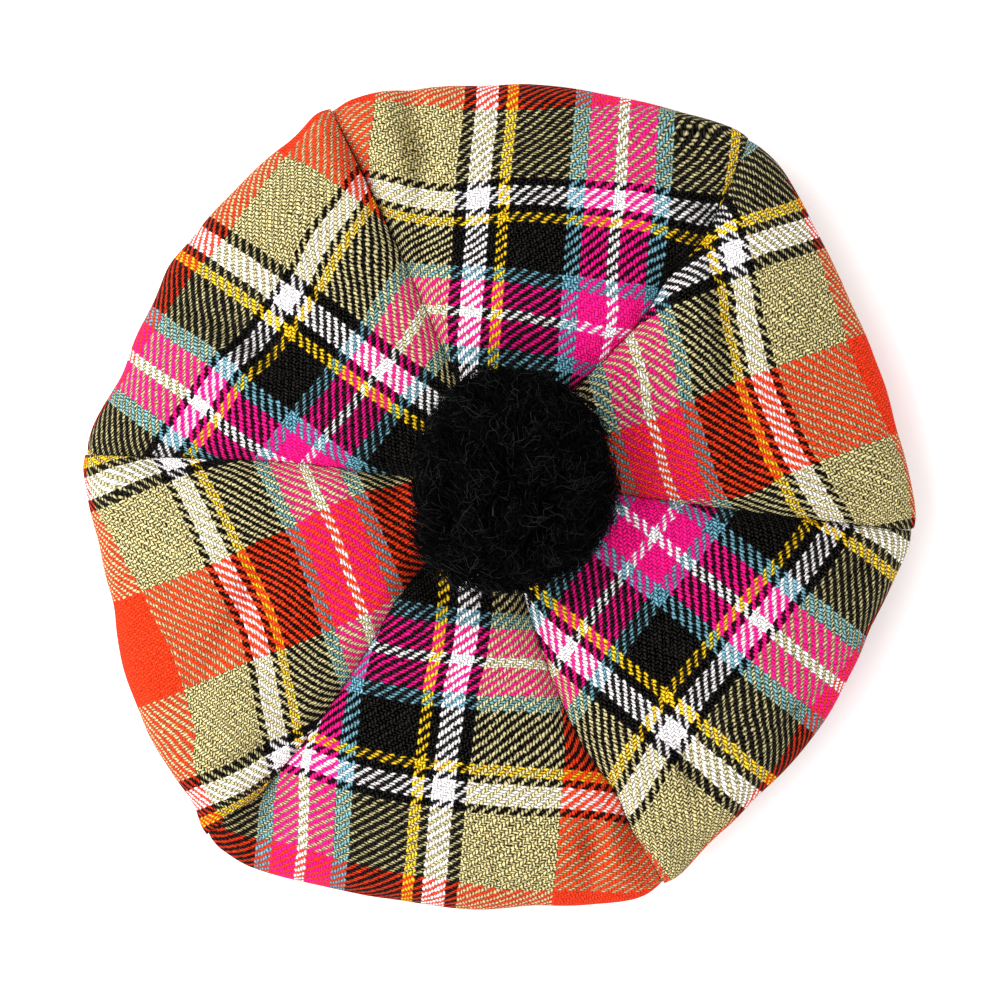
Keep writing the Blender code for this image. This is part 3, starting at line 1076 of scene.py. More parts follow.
    def base(self, gore: int, across: np.ndarray, place: np.ndarray) -> np.ndarray:
        """Points of the crown before its folds and seam rolls.

        Args:
            gore: The gore's number, from 0.
            across: Shares of the way across it.
            place: Places along the section.

        Returns:
            x, y and z, one row for each point.
        """
        radius, height, seam_drop = np.moveaxis(self.section_at(place), -1, 0)
        rim = self.rim_point(gore, across)
        share = np.minimum(radius / self.rim_radius, 1.0)
        left, right = SEAMS[gore], SEAMS[(gore + 1) % len(SEAMS)]
        side = across[..., None]
        bows = self.seam_bow(left, share) * (1 - side) + self.seam_bow(right, share) * side
        above = self.meeting + (rim - self.meeting) * share[..., None] + bows
        band_radius = self.section[-1].radius
        below_share = (radius - band_radius) / (self.rim_radius - band_radius)
        angle = self.rim_angle(gore, across)
        band = band_radius * np.stack((np.cos(angle), np.sin(angle)), axis=-1)
        below = band + (rim - band) * below_share[..., None]
        plan = np.where((place <= self.rim_place)[..., None], above, below)
        height = height - seam_drop * np.abs(2 * across - 1) ** self.gore_roundness
        near_rim = np.exp(-(((place - self.rim_place) / self.rim_lift_reach) ** 2))
        height = height + GORES[gore].rim_lift * np.sin(math.pi * across) * near_rim
        return np.concatenate((plan, height[..., None]), axis=-1)

    def outward(self, points: np.ndarray, place: np.ndarray) -> np.ndarray:
        """Directions that face away from the head, alike on both sides of a seam.

        Args:
            points: Points of the crown.
            place: Their places along the section.

        Returns:
            The directions, one row for each point.
        """
        before = self.section_at(np.maximum(place - self.small_step, 0.0))
        after = self.section_at(np.minimum(place + self.small_step, self.last_place))
        sideways = before[..., 1] - after[..., 1]
        upward = after[..., 0] - before[..., 0]
        plan = points[..., :2] / np.linalg.norm(points[..., :2], axis=-1, keepdims=True)
        facing = np.concatenate((plan * sideways[..., None], upward[..., None]), axis=-1)
        return facing / np.linalg.norm(facing, axis=-1, keepdims=True)

    def fold_depth(self, points: np.ndarray, place: np.ndarray) -> np.ndarray:
        """How far the folds press the cloth in. They end below the rim.

        Args:
            points: Points of the crown.
            place: Their places along the section.

        Returns:
            The depth in mm, for each point.
        """
        above = 1.0 / (1.0 + np.exp(self.fold_end_sharpness * (place - self.fold_end_place)))
        depth = np.zeros(points.shape[:-1])
        for fold in self.folds:
            turn = math.radians(fold.turn)
            x, y = points[..., 0] - fold.x, points[..., 1] - fold.y
            along = (x * math.cos(turn) + y * math.sin(turn)) / fold.length
            aside = (y * math.cos(turn) - x * math.sin(turn)) / fold.width
            depth += fold.depth * np.exp(-(along**2) - aside**2)
        return depth * above


# ---------------------------------------------------------------------------------------------
# The lie of the tartan


@dataclass(frozen=True)
class YarnFit:
    """The numbers of the warp or weft threads over a gore: the factors of a smooth surface, and
    what that leaves over at each of the gore's marks."""

    factors: np.ndarray
    marks: np.ndarray
    left_over: np.ndarray


@dataclass
class ClothLie:
    """Which threads of the tartan cross at each place of a gore. A smooth surface is fitted
    through the gore's marks, and what it leaves over is spread around them.

    The two steady weights hold the surface near an even, unbent cloth. A mark is felt as far as
    spread, less where few others are near. Beyond settled_reach the cloth runs on evenly."""

    shape: CrownShape
    gore: int
    steady_linear: float = 0.12
    steady_bent: float = 0.9
    spread: float = 10.0
    spread_floor: float = 0.12
    settled_reach: float = 132.0
    unit: float = 100.0
    warp: YarnFit = field(init=False)
    weft: YarnFit = field(init=False)

    def __post_init__(self) -> None:
        """Fits the warp and the weft to the gore's marks."""
        gore = GORES[self.gore]
        across, along = self.unit / WARP_PITCH_MM, self.unit / WEFT_PITCH_MM
        self.warp = self.fit(*self.read(gore.warp_marks, True), (0, across, 0, 0, 0, 0))
        self.weft = self.fit(*self.read(gore.weft_marks, False), (0, 0, along, 0, 0, 0))

    def read(self, lines: tuple[YarnLine, ...], across: bool) -> tuple[np.ndarray, np.ndarray]:
        """Turns marks into places on the cloth and thread numbers.

        Args:
            lines: The marks.
            across: True if the lines run across the gore.

        Returns:
            Places as (clockwise, out) in mm of cloth, and the thread numbers.
        """
        places, numbers = [], []
        for line in lines:
            for number, mark_px in line.marks.items():
                pair = (mark_px, line.place_px) if across else (line.place_px, mark_px)
                places.append(np.array(pair) * PHOTO_MM_PER_PX)
                numbers.append(number)
        seen = np.array(places)
        return np.stack((seen[:, 0], self.settle(seen)), axis=-1), np.array(numbers, dtype=float)

    def settle(self, seen: np.ndarray) -> np.ndarray:
        """How far out on the cloth places lie that are seen from above.

        Args:
            seen: The places as (clockwise, out) from the seams' meeting point, in mm.

        Returns:
            How far out each is along the cloth, in mm.
        """
        from_meeting = seen @ GORES[self.gore].directions.T
        x, y = (from_meeting + self.shape.meeting).T
        reach = np.linalg.norm(self.shape.rim_beyond(self.gore, np.arctan2(y, x)), axis=-1)
        way_out = np.linalg.norm(from_meeting, axis=-1)
        return seen[:, 1] * self.shape.cloth_ratio(way_out / reach)

    def terms(self, places: np.ndarray) -> np.ndarray:
        """The terms of the fitted surface."""
        x, y = (places / self.unit).T
        return np.stack((np.ones_like(x), x, y, x * y, x * x, y * y), axis=-1)

    def fit(self, places: np.ndarray, numbers: np.ndarray, flat: tuple[float, ...]) -> YarnFit:
        """Fits the surface, holding it near an even, unbent cloth.

        Args:
            places: Places on the cloth.
            numbers: The thread numbers there.
            flat: The factors of an even cloth.

        Returns:
            The fit.
        """
        steady = np.array((0.0, *(self.steady_linear,) * 2, *(self.steady_bent,) * 3))
        rows = np.concatenate((self.terms(places), np.diag(steady)))
        wanted = np.concatenate((numbers, steady * np.array(flat, dtype=float)))
        factors = np.linalg.lstsq(rows, wanted, rcond=None)[0]
        return YarnFit(factors, places, numbers - self.terms(places) @ factors)

    def numbers(self, fit: YarnFit, places: np.ndarray) -> np.ndarray:
        """The thread numbers of one direction: the surface, and what the marks near each place
        say beyond it.

        Args:
            fit: The fit of the warp or the weft.
            places: Places on the cloth.

        Returns:
            A number for each place.
        """
        total = np.zeros(len(places))
        weights = np.full(len(places), self.spread_floor)
        for mark, difference in zip(fit.marks, fit.left_over):
            weight = np.exp(-((places - mark) ** 2).sum(axis=-1) / self.spread**2)
            total += weight * difference
            weights += weight
        return self.terms(places) @ fit.factors + total / weights

    def threads(self, clockwise: np.ndarray, out: np.ndarray) -> np.ndarray:
        """The thread numbers at places on the cloth.

        Args:
            clockwise: How far clockwise of the gore's axis, in mm.
            out: How far out along it on the cloth, in mm.

        Returns:
            Warp and weft numbers, one row for each place.
        """
        held = np.minimum(out, self.settled_reach)
        places = np.stack((clockwise, held), axis=-1)
        warp = self.numbers(self.warp, places)
        weft = self.numbers(self.weft, places) + (out - held) / WEFT_PITCH_MM
        return np.stack((warp, weft), axis=-1)


# ---------------------------------------------------------------------------------------------
# Pieces


def piece_from_mesh(mesh: bpy.types.Mesh, material: bpy.types.Material) -> bpy.types.Object:
    """Makes a smooth-shaded object of a mesh.

    Args:
        mesh: The mesh, whose name the piece takes.
        material: Its finish.

    Returns:
        The object, linked to the scene.
    """
    mesh.shade_smooth()
    mesh.materials.append(material)
    piece = bpy.data.objects.new(mesh.name, mesh)
    bpy.context.scene.collection.objects.link(piece)
    return piece


def piece_from_bmesh(name: str, bm: bmesh.types.BMesh, material: bpy.types.Material) -> bpy.types.Object:
    """Makes a smooth-shaded object of a mesh that is still being edited.

    Args:
        name: The piece's name.
        bm: The mesh, which is freed.
        material: Its finish.

    Returns:
        The object, linked to the scene.
    """
    mesh = bpy.data.meshes.new(name)
    bm.to_mesh(mesh)
    bm.free()
    return piece_from_mesh(mesh, material)


def two_noises(spot: Vector, share: float, rate: float) -> float:
    """A noise at a spot, and a share of one that is finer by a rate."""
    return noise.noise(spot) + share * noise.noise(spot * rate)


def set_yarn_map(mesh: bpy.types.Mesh, numbers: np.ndarray) -> None:
    """Writes a mesh's yarn map.

    Args:
        mesh: The mesh.
        numbers: Warp and weft thread numbers, one row for each vertex.
    """
    corners = np.empty(len(mesh.loops), dtype=np.int32)
    mesh.loops.foreach_get("vertex_index", corners)
    layer = mesh.uv_layers.new(name=YARN_MAP)
    layer.uv.foreach_set("vector", numbers[corners].astype(np.float32).ravel())


@dataclass
class GorePanel:
    """One gore of the crown: a sheet of cloth whose two long edges turn in at the seams.

    Beside a seam it puckers in two mixed ripples, and all over it lies in low waves, large and
    small. The waves are calm under the pompom, for calm_middle mm of cloth, and at the band."""

    shape: CrownShape
    gore: int
    thickness: float = 1.6
    gap: float = 0.12
    roll_width: float = 7.0
    roll_depth: float = 2.5
    roll_bend: float = 2.0
    roll_steps: int = 9
    rim_roll: float = 0.35
    rim_roll_places: tuple[float, float] = (4.3, 5.8)
    turned_in: float = 5.2
    tuck_width: float = 6.0
    rows: int = 116
    middle_columns: int = 84
    pucker_depth: float = 0.5
    pucker_reach: float = 9.0
    pucker_length: float = 11.0
    pucker_shift_by_seam: float = 1.7
    pucker_shift_by_gore: float = 0.9
    second_pucker: float = 0.6
    second_pucker_rate: float = 1.63
    second_pucker_shift: float = 2.1
    pucker_stray_rate: float = 0.31
    wave_depth: float = 0.9
    wave_length: float = 42.0
    small_wave: float = 0.45
    small_wave_rate: float = 2.7
    calm_middle: float = 10.0
    calm_middle_edge: float = 20.0
    calm_band_places: float = 1.2

    def columns(self) -> np.ndarray:
        """The panel's columns, from its first seam to its last.

        Returns:
            A row for each column: its distance from the first or last seam line, its share of the
            width between the two rolls, how deep it is rolled, and how deep it is turned in.
        """
        steps = np.linspace(0, 1, self.roll_steps + 1)[:-1]
        distance = self.roll_width * steps
        depth = self.roll_depth * (1 - steps) ** self.roll_bend
        first = [(0.0, 0.0, self.roll_depth, self.turned_in)]
        first += [(d, 0.0, rolled, 0.0) for d, rolled in zip(distance, depth)]
        shares = np.linspace(0, 1, self.middle_columns + 1)
        middle = [(self.roll_width, share, 0.0, 0.0) for share in shares]
        last = [(2 * self.roll_width - d, 1.0, *depths) for d, _, *depths in reversed(first)]
        return np.array(first + middle + last)

    def pucker(self, distance: np.ndarray, along: np.ndarray, seam: int) -> np.ndarray:
        """How far the cloth puckers beside a seam.

        Args:
            distance: How far each point is from the seam.
            along: How far along the seam it is.
            seam: The seam's number.

        Returns:
            The depth of the puckers.
        """
        shift = self.pucker_shift_by_seam * seam + self.pucker_shift_by_gore * self.gore
        turn = math.tau * along / self.pucker_length
        stray = self.second_pucker_shift * shift + np.sin(self.pucker_stray_rate * turn)
        second = self.second_pucker * np.sin(self.second_pucker_rate * turn + stray)
        ripple = np.sin(turn + shift) + second
        return self.pucker_depth * ripple * np.exp(-distance / self.pucker_reach)

    def tuck_depth(self, distance: np.ndarray, place: np.ndarray, seam: int) -> np.ndarray:
        """How far the cloth is pressed in beside a seam, where it lies lower than its neighbour.

        Args:
            distance: How far each point is from the seam.
            place: Its place along the section.
            seam: The seam's number.

        Returns:
            The depth of the tucks.
        """
        radius = self.shape.section_at(place)[:, 0] / self.shape.rim_radius
        share = np.where(place > self.shape.rim_place, 2.0 - radius, radius)
        side = 1.0 if seam == self.gore else -1.0
        depth = np.zeros_like(place)
        for tuck in SEAMS[seam].tucks:
            here = np.exp(-(((share - tuck.share) / tuck.spread) ** 2))
            depth += max(side * tuck.depth, 0.0) * here
        return depth * np.exp(-((distance / self.tuck_width) ** 2))

    def waves(self, points: np.ndarray) -> np.ndarray:
        """How far the cloth's slight unevenness presses it in.

        Args:
            points: Points of the crown.

        Returns:
            The depth for each point.
        """
        spots = (Vector(point) * (1 / self.wave_length) for point in points)
        depths = [two_noises(spot, self.small_wave, self.small_wave_rate) for spot in spots]
        return self.wave_depth * np.array(depths)

    def surface(self, place: np.ndarray, column: np.ndarray) -> tuple[np.ndarray, np.ndarray]:
        """The panel's outer face.

        Args:
            place: Places along the section.
            column: The column of each point.

        Returns:
            Points in mm, and how deep each is rolled in.
        """
        from_edge, share, rolled, turned = self.columns()[column].T
        over_rim = np.clip(np.interp(place, self.rim_roll_places, (0, 1)), 0, 1)
        depth = rolled * (1 + (self.rim_roll - 1) * over_rim) + turned
        first, middle, last = (
            self.shape.base(self.gore, np.full_like(place, across), place) for across in (0.0, 0.5, 1.0)
        )
        width = np.linalg.norm(middle - first, axis=-1) + np.linalg.norm(last - middle, axis=-1)
        between_rolls = width - self.gap - 2 * self.roll_width
        from_first = self.gap / 2 + from_edge + share * between_rolls
        across = from_first / width
        points = self.shape.base(self.gore, across, place)
        along = self.shape.cloth_length(place)
        puckers = np.zeros_like(place)
        for distance, seam in ((from_first, self.gore), (width - from_first, self.gore + 1)):
            puckers += self.pucker(distance, along, seam % len(SEAMS))
            puckers += self.tuck_depth(distance, place, seam % len(SEAMS))
        pressed = depth + self.shape.fold_depth(points, place) + puckers
        past_middle = np.clip((along - self.calm_middle) / self.calm_middle_edge, 0, 1)
        above_band = np.clip((self.shape.last_place - place) / self.calm_band_places, 0, 1)
        pressed += self.waves(points) * past_middle * above_band
        return points - self.shape.outward(points, place) * pressed[:, None], depth

    def yarn_numbers(self, points: np.ndarray, place: np.ndarray, depth: np.ndarray) -> np.ndarray:
        """The threads that cross at each point of the panel.

        Args:
            points: Points of the panel.
            place: Their places along the section.
            depth: How deep each is rolled in at a seam.

        Returns:
            Warp and weft numbers.
        """
        directions = GORES[self.gore].directions
        nearer = (CAMERA_HEIGHT_MM - OUTLINE_HEIGHT_MM) / (CAMERA_HEIGHT_MM - points[:, 2])
        seen = points[:, :2] * nearer[:, None] - self.shape.meeting
        clockwise, out = (seen @ directions).T
        clockwise = clockwise + np.sign(clockwise) * depth
        rim_place = float(self.shape.rim_place)
        length = self.shape.cloth_length(place)
        rim_length = self.shape.cloth_length(rim_place)
        radius = self.shape.section_at(np.minimum(place, rim_place))[:, 0]
        above = out * length / radius
        rim = self.shape.rim_beyond(self.gore, np.arctan2(points[:, 1], points[:, 0]))
        rim_out = (rim @ directions)[:, 1]
        below = rim_out * (rim_length / self.shape.rim_radius) + (length - rim_length)
        on_cloth = np.where(place > rim_place, below, above)
        return ClothLie(self.shape, self.gore).threads(clockwise, on_cloth)

    def build(self, material: bpy.types.Material) -> bpy.types.Object:
        """Makes the gore.

        Args:
            material: The cloth's finish.

        Returns:
            The piece.
        """
        last_column = len(self.columns()) - 1
        bm = bmesh.new()
        bmesh.ops.create_grid(bm, x_segments=self.rows, y_segments=last_column, size=0.5)
        flat = np.array([vert.co[:2] for vert in bm.verts]) + 0.5
        place = flat[:, 0] * self.shape.last_place
        column = np.round(flat[:, 1] * last_column).astype(int)
        points, depth = self.surface(place, column)
        for vert, point in zip(bm.verts, points):
            vert.co = point * MM
        name = GORES[self.gore].name
        piece = piece_from_bmesh(f"{name}_cloth", bm, material)
        set_yarn_map(piece.data, self.yarn_numbers(points, place, depth))
        wall = piece.modifiers.new("cloth_thickness", "SOLIDIFY")
        wall.thickness = self.thickness * MM
        wall.offset = -1.0
        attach(piece, "root")
        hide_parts(name)
        return piece


@dataclass
class Headband:
    """The band round the head opening: cloth doubled over at its lower edge. Of the lines of its
    cut, those longer than wall_over are its walls."""

    outer_radius: float = 92.0
    thickness: float = 3.0
    height: float = 27.0
    edge_round: float = 0.9
    turns: int = 180
    edge_steps: int = 4
    wall_steps: int = 9
    wall_over: float = 4.5

    def profile(self) -> list[tuple[float, float]]:
        """The band's cut, clockwise from its outer top.

        Returns:
            Radius and height of each of its points.
        """
        inner, soft = self.outer_radius - self.thickness, self.edge_round
        corners = (
            (self.outer_radius - soft, self.height - soft, 90),
            (self.outer_radius - soft, soft, 0),
            (inner + soft, soft, -90),
            (inner + soft, self.height - soft, -180),
        )
        cut = []
        for radius, height, start in corners:
            for step in range(self.edge_steps + 1):
                turn = math.radians(start - 90 * step / self.edge_steps)
                cut.append((radius + soft * math.cos(turn), height + soft * math.sin(turn)))
        return cut

    def build(self, material: bpy.types.Material) -> bpy.types.Object:
        """Makes the headband.

        Args:
            material: The cloth's finish.

        Returns:
            The piece.
        """
        bm = bmesh.new()
        cut = [bm.verts.new((radius * MM, 0.0, height * MM)) for radius, height in self.profile()]
        ring = [bm.edges.new((cut[i - 1], cut[i])) for i in range(len(cut))]
        tall = [edge for edge in ring if edge.calc_length() > self.wall_over * MM]
        bmesh.ops.subdivide_edges(bm, edges=tall, cuts=self.wall_steps)
        bmesh.ops.spin(
            bm,
            geom=bm.verts[:] + bm.edges[:],
            axis=(0, 0, 1),
            angle=math.tau,
            steps=self.turns,
            use_merge=True,
        )
        bmesh.ops.remove_doubles(bm, verts=bm.verts, dist=MERGE_MM * MM)
        bmesh.ops.recalc_face_normals(bm, faces=bm.faces)
        piece = piece_from_bmesh("headband_cloth", bm, material)
        places = np.array([vert.co for vert in piece.data.vertices]) / MM
        angle = np.arctan2(places[:, 1], places[:, 0])
        inside = np.hypot(places[:, 0], places[:, 1]) < self.outer_radius - self.thickness / 2
        up = np.where(inside, -places[:, 2], places[:, 2])
        around = angle * self.outer_radius
        set_yarn_map(piece.data, np.stack((around / WARP_PITCH_MM, up / WEFT_PITCH_MM), axis=-1))
        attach(piece, "root")
        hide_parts("headband")
        return piece


@dataclass(frozen=True)
class Strand:
    """One make of strand: a thin tube of few sides. It rises out of the pompom, bends over and
    runs along the ball, swaying from side to side sway_turns times."""

    length: float
    radius: float
    sides: int
    rings: int
    rise: float
    sway: float
    sway_turns: float
    phase: float

    def mesh(self, ball: float) -> tuple[np.ndarray, np.ndarray]:
        """The strand, with its tip end along X, on a ball whose outside faces Z.

        Args:
            ball: The radius of the ball.

        Returns:
            Vertices in mm, and faces as corner numbers, -1 where a face has fewer.
        """
        bm = bmesh.new()
        bmesh.ops.create_circle(bm, cap_ends=True, segments=self.sides, radius=self.radius)
        bmesh.ops.translate(bm, verts=bm.verts, vec=self.centre(0.0, ball))
        edges = bm.edges[:]
        for ring in range(1, self.rings + 1):
            grown = bmesh.ops.extrude_edge_only(bm, edges=edges)["geom"]
            verts = [item for item in grown if isinstance(item, bmesh.types.BMVert)]
            edges = [item for item in grown if isinstance(item, bmesh.types.BMEdge)]
            shares = (ring - 1) / self.rings, ring / self.rings
            before, now = (self.centre(share, ball) for share in shares)
            old_way, new_way = (self.heading(share, ball) for share in shares)
            bmesh.ops.translate(bm, verts=verts, vec=now - before)
            turn = old_way.rotation_difference(new_way).to_matrix()
            bmesh.ops.rotate(bm, verts=verts, matrix=turn, space=Matrix.Translation(-now))
        bmesh.ops.holes_fill(bm, edges=edges, sides=self.sides)
        bmesh.ops.recalc_face_normals(bm, faces=bm.faces)
        bm.verts.index_update()
        verts = np.array([vert.co for vert in bm.verts])
        most = max(4, self.sides)
        corners = [[vert.index for vert in face.verts] for face in bm.faces]
        faces = np.array([face + [-1] * (most - len(face)) for face in corners])
        bm.free()
        return verts, faces

    def centre(self, share: float, ball: float) -> Vector:
        """The middle of the strand.

        Args:
            share: The share of its length.
            ball: The radius of the ball.

        Returns:
            Its place in mm.
        """
        along = self.length * share
        side = self.sway * share * math.sin(math.tau * self.sway_turns * share + self.phase)
        rise = -self.rise * (1 - share) ** 2 - along**2 / (2 * ball)
        return Vector((along, side, rise))

    def heading(self, share: float, ball: float) -> Vector:
        """The way in which the strand runs.

        Args:
            share: The share of its length.
            ball: The radius of the ball.

        Returns:
            Its direction.
        """
        step = 1 / (2 * self.rings)
        if share == 0:
            return Vector((0, 0, 1))
        return (self.centre(share + step, ball) - self.centre(share - step, ball)).normalized()


@dataclass(frozen=True)
class Coat:
    """A layer of strands over the pompom. tips is the least and greatest reach of their tips from
    the pompom's middle, lift how steeply they stand in degrees, and swirl how far they stray from
    running down off the parting, in turns. highlight_share of them are light, painted highlights."""

    name: str
    count: int
    tips: tuple[float, float]
    lift: tuple[float, float]
    swirl: float
    highlight_share: float
    strand: Strand


@dataclass(frozen=True)
class Swell:
    """Where the pompom reaches further out on one side, seen from above. spread is in degrees and
    share how much further it reaches."""

    angle: float
    spread: float
    share: float


@dataclass
class Pompom:
    """A ball of cut yarn, cut flat at base_depth below its middle, where it sits on the crown.

    Its core has lumps of two sizes, each with a depth and a fineness. Each coat has strands of
    several makes, rooted down to the height bottom, a share of the ball's radius. They run away
    from the parting, in swirls of two sizes; most are dark, and the light few are painted highlights."""

    centre: tuple[float, float, float] = (5.3, 5.9, 83.9)
    core_radius: float = 29.3
    base_depth: float = 25.6
    parting: tuple[float, float, float] = (0.3, -0.28, 0.92)
    bottom: float = -0.74
    core_lumps: tuple[tuple[float, float], ...] = ((0.05, 0.35), (0.03, 0.9))
    base_unevenness: float = 0.8
    makes: int = 10
    least_sway: float = 0.4
    sway_step: float = 0.15
    strand_sizes: tuple[float, float] = (0.8, 1.15)
    seed: int = 41
    swirl_size: float = 14.0
    swirl_gain: float = 2.0
    small_swirl: float = 0.5
    small_swirl_rate: float = 3.1
    tones: tuple[float, float] = (0.02, 0.2)
    # The light strands' tones, for painted highlights on the yarn:
    highlight_tones: tuple[float, float] = (0.4, 1.05)
    swells: tuple[Swell, ...] = (
        Swell(15, 14, -0.1),
        Swell(58, 16, 0.03),
        Swell(92, 16, 0.07),
        Swell(118, 14, 0.08),
        Swell(136, 16, 0.04),
        Swell(230, 21, 0.22),
        Swell(264, 13, 0.1),
        Swell(296, 13, 0.06),
        Swell(327, 16, 0.04),
    )
    coats: tuple[Coat, ...] = (
        Coat("under", 3600, (31.2, 33.2), (5, 45), 0.22, 0.03, Strand(8.5, 0.22, 4, 4, 3.4, 1.3, 0.6, 0)),
        Coat("upper", 5200, (32.2, 34.5), (0, 35), 0.3, 0.2, Strand(9.0, 0.125, 3, 5, 2.6, 2.0, 0.9, 0)),
        Coat("loose", 4600, (33.0, 36.0), (5, 65), 0.55, 0.2, Strand(7.5, 0.09, 3, 6, 2.0, 2.6, 1.3, 0)),
    )

    def directions(self, count: int) -> np.ndarray:
        """Directions spread evenly over a ball.

        Args:
            count: How many.

        Returns:
            One row for each direction.
        """
        number = np.arange(count)
        height = -1 + (2 * number + 1) / count
        ring = np.sqrt(1 - height**2)
        turn = number * GOLDEN_ANGLE
        return np.stack((ring * np.cos(turn), ring * np.sin(turn), height), axis=-1)

    def swell(self, out: np.ndarray | Vector) -> float:
        """How much further than the ball the pompom reaches sideways.

        Args:
            out: A direction from its middle.

        Returns:
            A factor near 1.
        """
        turn = math.degrees(math.atan2(out[1], out[0]))
        total = 1.0
        for swell in self.swells:
            off = (turn - swell.angle + 180) % 360 - 180
            total += swell.share * math.exp(-((off / swell.spread) ** 2))
        return total

    def core(self, material: bpy.types.Material) -> bpy.types.Object:
        """The dense middle that shows between the strands.

        Args:
            material: Its finish.

        Returns:
            The piece.
        """
        bm = bmesh.new()
        bmesh.ops.create_icosphere(bm, subdivisions=5, radius=self.core_radius)
        for vert in bm.verts:
            lumps = (depth * noise.noise(vert.co * fineness) for depth, fineness in self.core_lumps)
            vert.co *= sum(lumps, 1.0)
            vert.co.xy *= self.swell(vert.co)
        flat = Vector((0, 0, -self.base_depth))
        geometry = bm.verts[:] + bm.edges[:] + bm.faces[:]
        cut = bmesh.ops.bisect_plane(
            bm, geom=geometry, plane_co=flat, plane_no=(0, 0, -1), clear_outer=True
        )
        rim = [item for item in cut["geom_cut"] if isinstance(item, bmesh.types.BMEdge)]
        bmesh.ops.holes_fill(bm, edges=rim)
        bmesh.ops.translate(bm, verts=bm.verts, vec=self.centre)
        bmesh.ops.scale(bm, verts=bm.verts, vec=(MM, MM, MM))
        return piece_from_bmesh("pompom_core", bm, material)

    def flow(self, out: np.ndarray, swirl: float) -> np.ndarray:
        """The direction in which a strand runs over the ball.

        Args:
            out: The direction of its root from the ball's middle.
            swirl: How far it may stray, in turns.

        Returns:
            The direction.
        """
        away = out - np.array(self.parting)
        away -= out * (away @ out)
        away /= np.linalg.norm(away)
        spot = Vector(out) * self.core_radius / self.swirl_size
        swirls = two_noises(spot, self.small_swirl, self.small_swirl_rate)
        stray = math.tau * swirl * swirls * self.swirl_gain
        return away * math.cos(stray) + np.cross(out, away) * math.sin(stray)

    def lay(
        self, verts: np.ndarray, out: np.ndarray, coat: Coat, random: np.random.Generator
    ) -> np.ndarray:
        """Lays one strand on the ball.

        Args:
            verts: The strand's vertices as it is made.
            out: The direction of its root from the ball's middle.
            coat: Its layer.
            random: Gives its own lift, size, reach and lowest height.

        Returns:
            Its vertices from the ball's middle, in mm.
        """
        along = self.flow(out, coat.swirl)
        lift = math.radians(random.uniform(*coat.lift))
        side = np.cross(out, along)
        lifted = along * math.cos(lift) + out * math.sin(lift)
        axes = np.stack((lifted, side, np.cross(lifted, side)), axis=-1)
        placed = verts @ (axes * random.uniform(*self.strand_sizes)).T
        tip = np.linalg.norm(placed[-1] + out * self.core_radius)
        placed += out * (self.core_radius + random.uniform(*coat.tips) - tip)
        placed[:, :2] *= self.swell(out)
        floor = -self.base_depth + random.uniform(0, self.base_unevenness)
        placed[:, 2] = np.maximum(placed[:, 2], floor)
        return placed

    def coat(self, coat: Coat, material: bpy.types.Material) -> bpy.types.Object:
        """One layer of strands as one mesh.

        Args:
            coat: The layer.
            material: Its finish.

        Returns:
            The piece.
        """
        random = np.random.default_rng(self.seed + coat.count)
        outs = self.directions(coat.count)
        makes = [self.make(coat.strand, number) for number in range(self.makes)]
        points, faces, tones, first = [], [], [], 0
        for out in outs[outs[:, 2] > self.bottom]:
            verts, corners = makes[random.integers(self.makes)]
            points.append(self.lay(verts, out, coat, random) + self.centre)
            faces.append(np.where(corners >= 0, corners + first, -1))
            first += len(verts)
            # A share of the strands is light: painted highlights on the black yarn.
            light = random.random() < coat.highlight_share
            tones.append(np.full(len(verts), random.uniform(*(self.highlight_tones if light else self.tones))))
        mesh = bpy.data.meshes.new(f"pompom_{coat.name}_yarn")
        listed = [[int(corner) for corner in face if corner >= 0] for face in np.concatenate(faces)]
        mesh.from_pydata((np.concatenate(points) * MM).tolist(), [], listed)
        tone = mesh.attributes.new(STRAND_TONE, "FLOAT", "POINT")
        tone.data.foreach_set("value", np.concatenate(tones).astype(np.float32))
        return piece_from_mesh(mesh, material)

    def make(self, strand: Strand, number: int) -> tuple[np.ndarray, np.ndarray]:
        """A strand's mesh with a sway of its own."""
        sway = strand.sway * (self.least_sway + self.sway_step * number)
        return replace(strand, phase=number * GOLDEN_ANGLE, sway=sway).mesh(self.core_radius)

    def build(self) -> Iterator[bpy.types.Object]:
        """Makes the pompom's pieces.

        Returns:
            The core and the layers of strands.
        """
        yarn = PompomYarn("pompom_yarn_black").material()
        for piece in (self.core(yarn), *(self.coat(coat, yarn) for coat in self.coats)):
            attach(piece, "root")
            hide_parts("pompom")
            yield piece


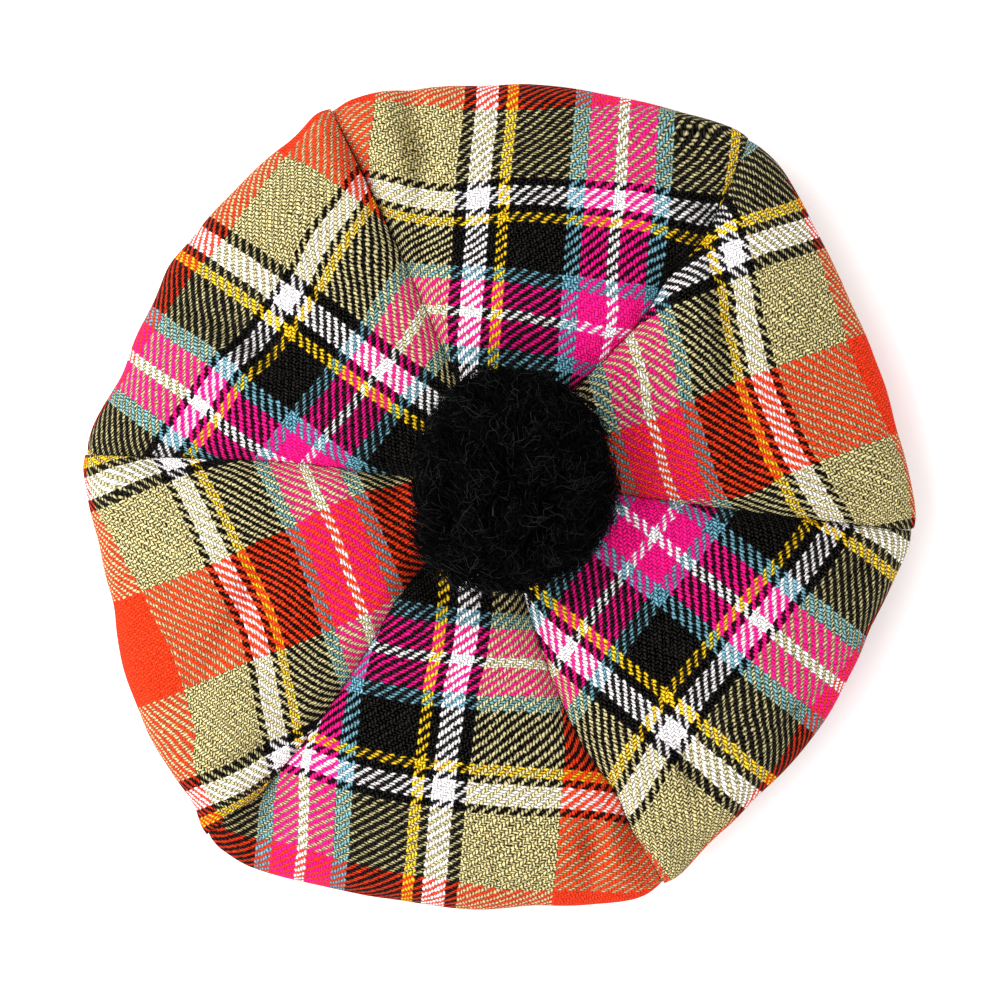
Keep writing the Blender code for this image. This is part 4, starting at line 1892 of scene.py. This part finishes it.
@dataclass
class Studio:
    """A white surface, soft light from all round, a large lamp at the upper left, and a camera
    straight above the hat. Its sizes and places are in metres."""

    floor_size: float = 6.0
    sky: float = 1.25
    key_power: float = 135.0
    key_size: float = 3.4
    key_place: tuple[float, float, float] = (-2.0, -0.1, 2.0)
    sensor_mm: float = 36.0

    def build(self) -> None:
        """Makes the floor, the lights and the camera."""
        bm = bmesh.new()
        bmesh.ops.create_grid(bm, x_segments=1, y_segments=1, size=self.floor_size / 2)
        piece_from_bmesh("floor", bm, PaleFloor().material())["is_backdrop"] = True
        scene = bpy.context.scene
        scene.view_settings.view_transform = "Standard"
        scene.world = bpy.data.worlds.new("soft_light")
        scene.world.use_nodes = True
        background = scene.world.node_tree.nodes["Background"]
        background.inputs["Color"].default_value = (1.0, 1.0, 1.0, 1.0)
        background.inputs["Strength"].default_value = self.sky
        self.add_key()
        self.add_camera()

    def add_key(self) -> None:
        """Adds the lamp, which faces the hat."""
        lamp = bpy.data.lights.new("key", "AREA")
        lamp.size = self.key_size
        lamp.energy = self.key_power
        placed = bpy.data.objects.new("key", lamp)
        placed.location = self.key_place
        placed.rotation_euler = Vector(self.key_place).to_track_quat("Z", "Y").to_euler()
        bpy.context.scene.collection.objects.link(placed)

    def add_camera(self) -> None:
        """Adds the camera, which frames the hat as the photo does."""
        camera = bpy.data.cameras.new("camera")
        seen = PHOTO_SIZE_PX * PHOTO_MM_PER_PX
        camera.sensor_width = self.sensor_mm
        camera.lens = self.sensor_mm * (CAMERA_HEIGHT_MM - OUTLINE_HEIGHT_MM) / seen
        placed = bpy.data.objects.new("camera", camera)
        placed.location = (0.0, -PHOTO_CENTRE_DOWN_MM * MM, CAMERA_HEIGHT_MM * MM)
        bpy.context.scene.collection.objects.link(placed)
        bpy.context.scene.camera = placed


def report(piece: bpy.types.Object) -> None:
    """Logs a finished piece's name and size.

    Args:
        piece: The piece.
    """
    triangles = sum(len(face.vertices) - 2 for face in piece.data.polygons)
    size = ", ".join(f"{side / MM:.1f}" for side in piece.dimensions)
    log.info("%s: %d triangles before modifiers, %s mm", piece.name, triangles, size)


def main() -> None:
    """Builds the hat and the studio."""
    logging.basicConfig(level=logging.INFO, format="%(message)s")
    Studio().build()
    shape = CrownShape()
    tartan = TartanCloth("tartan_twill").material()
    for gore in range(len(GORES)):
        report(GorePanel(shape, gore).build(tartan))
    report(Headband().build(TartanCloth("tartan_twill_band").material()))
    for piece in Pompom().build():
        report(piece)
    boxes = {"cad": CAD_BOX, "visual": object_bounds()}
    {name: [list(corner) for corner in box] for name, box in boxes.items()}


if __name__ == "__main__":
    main()
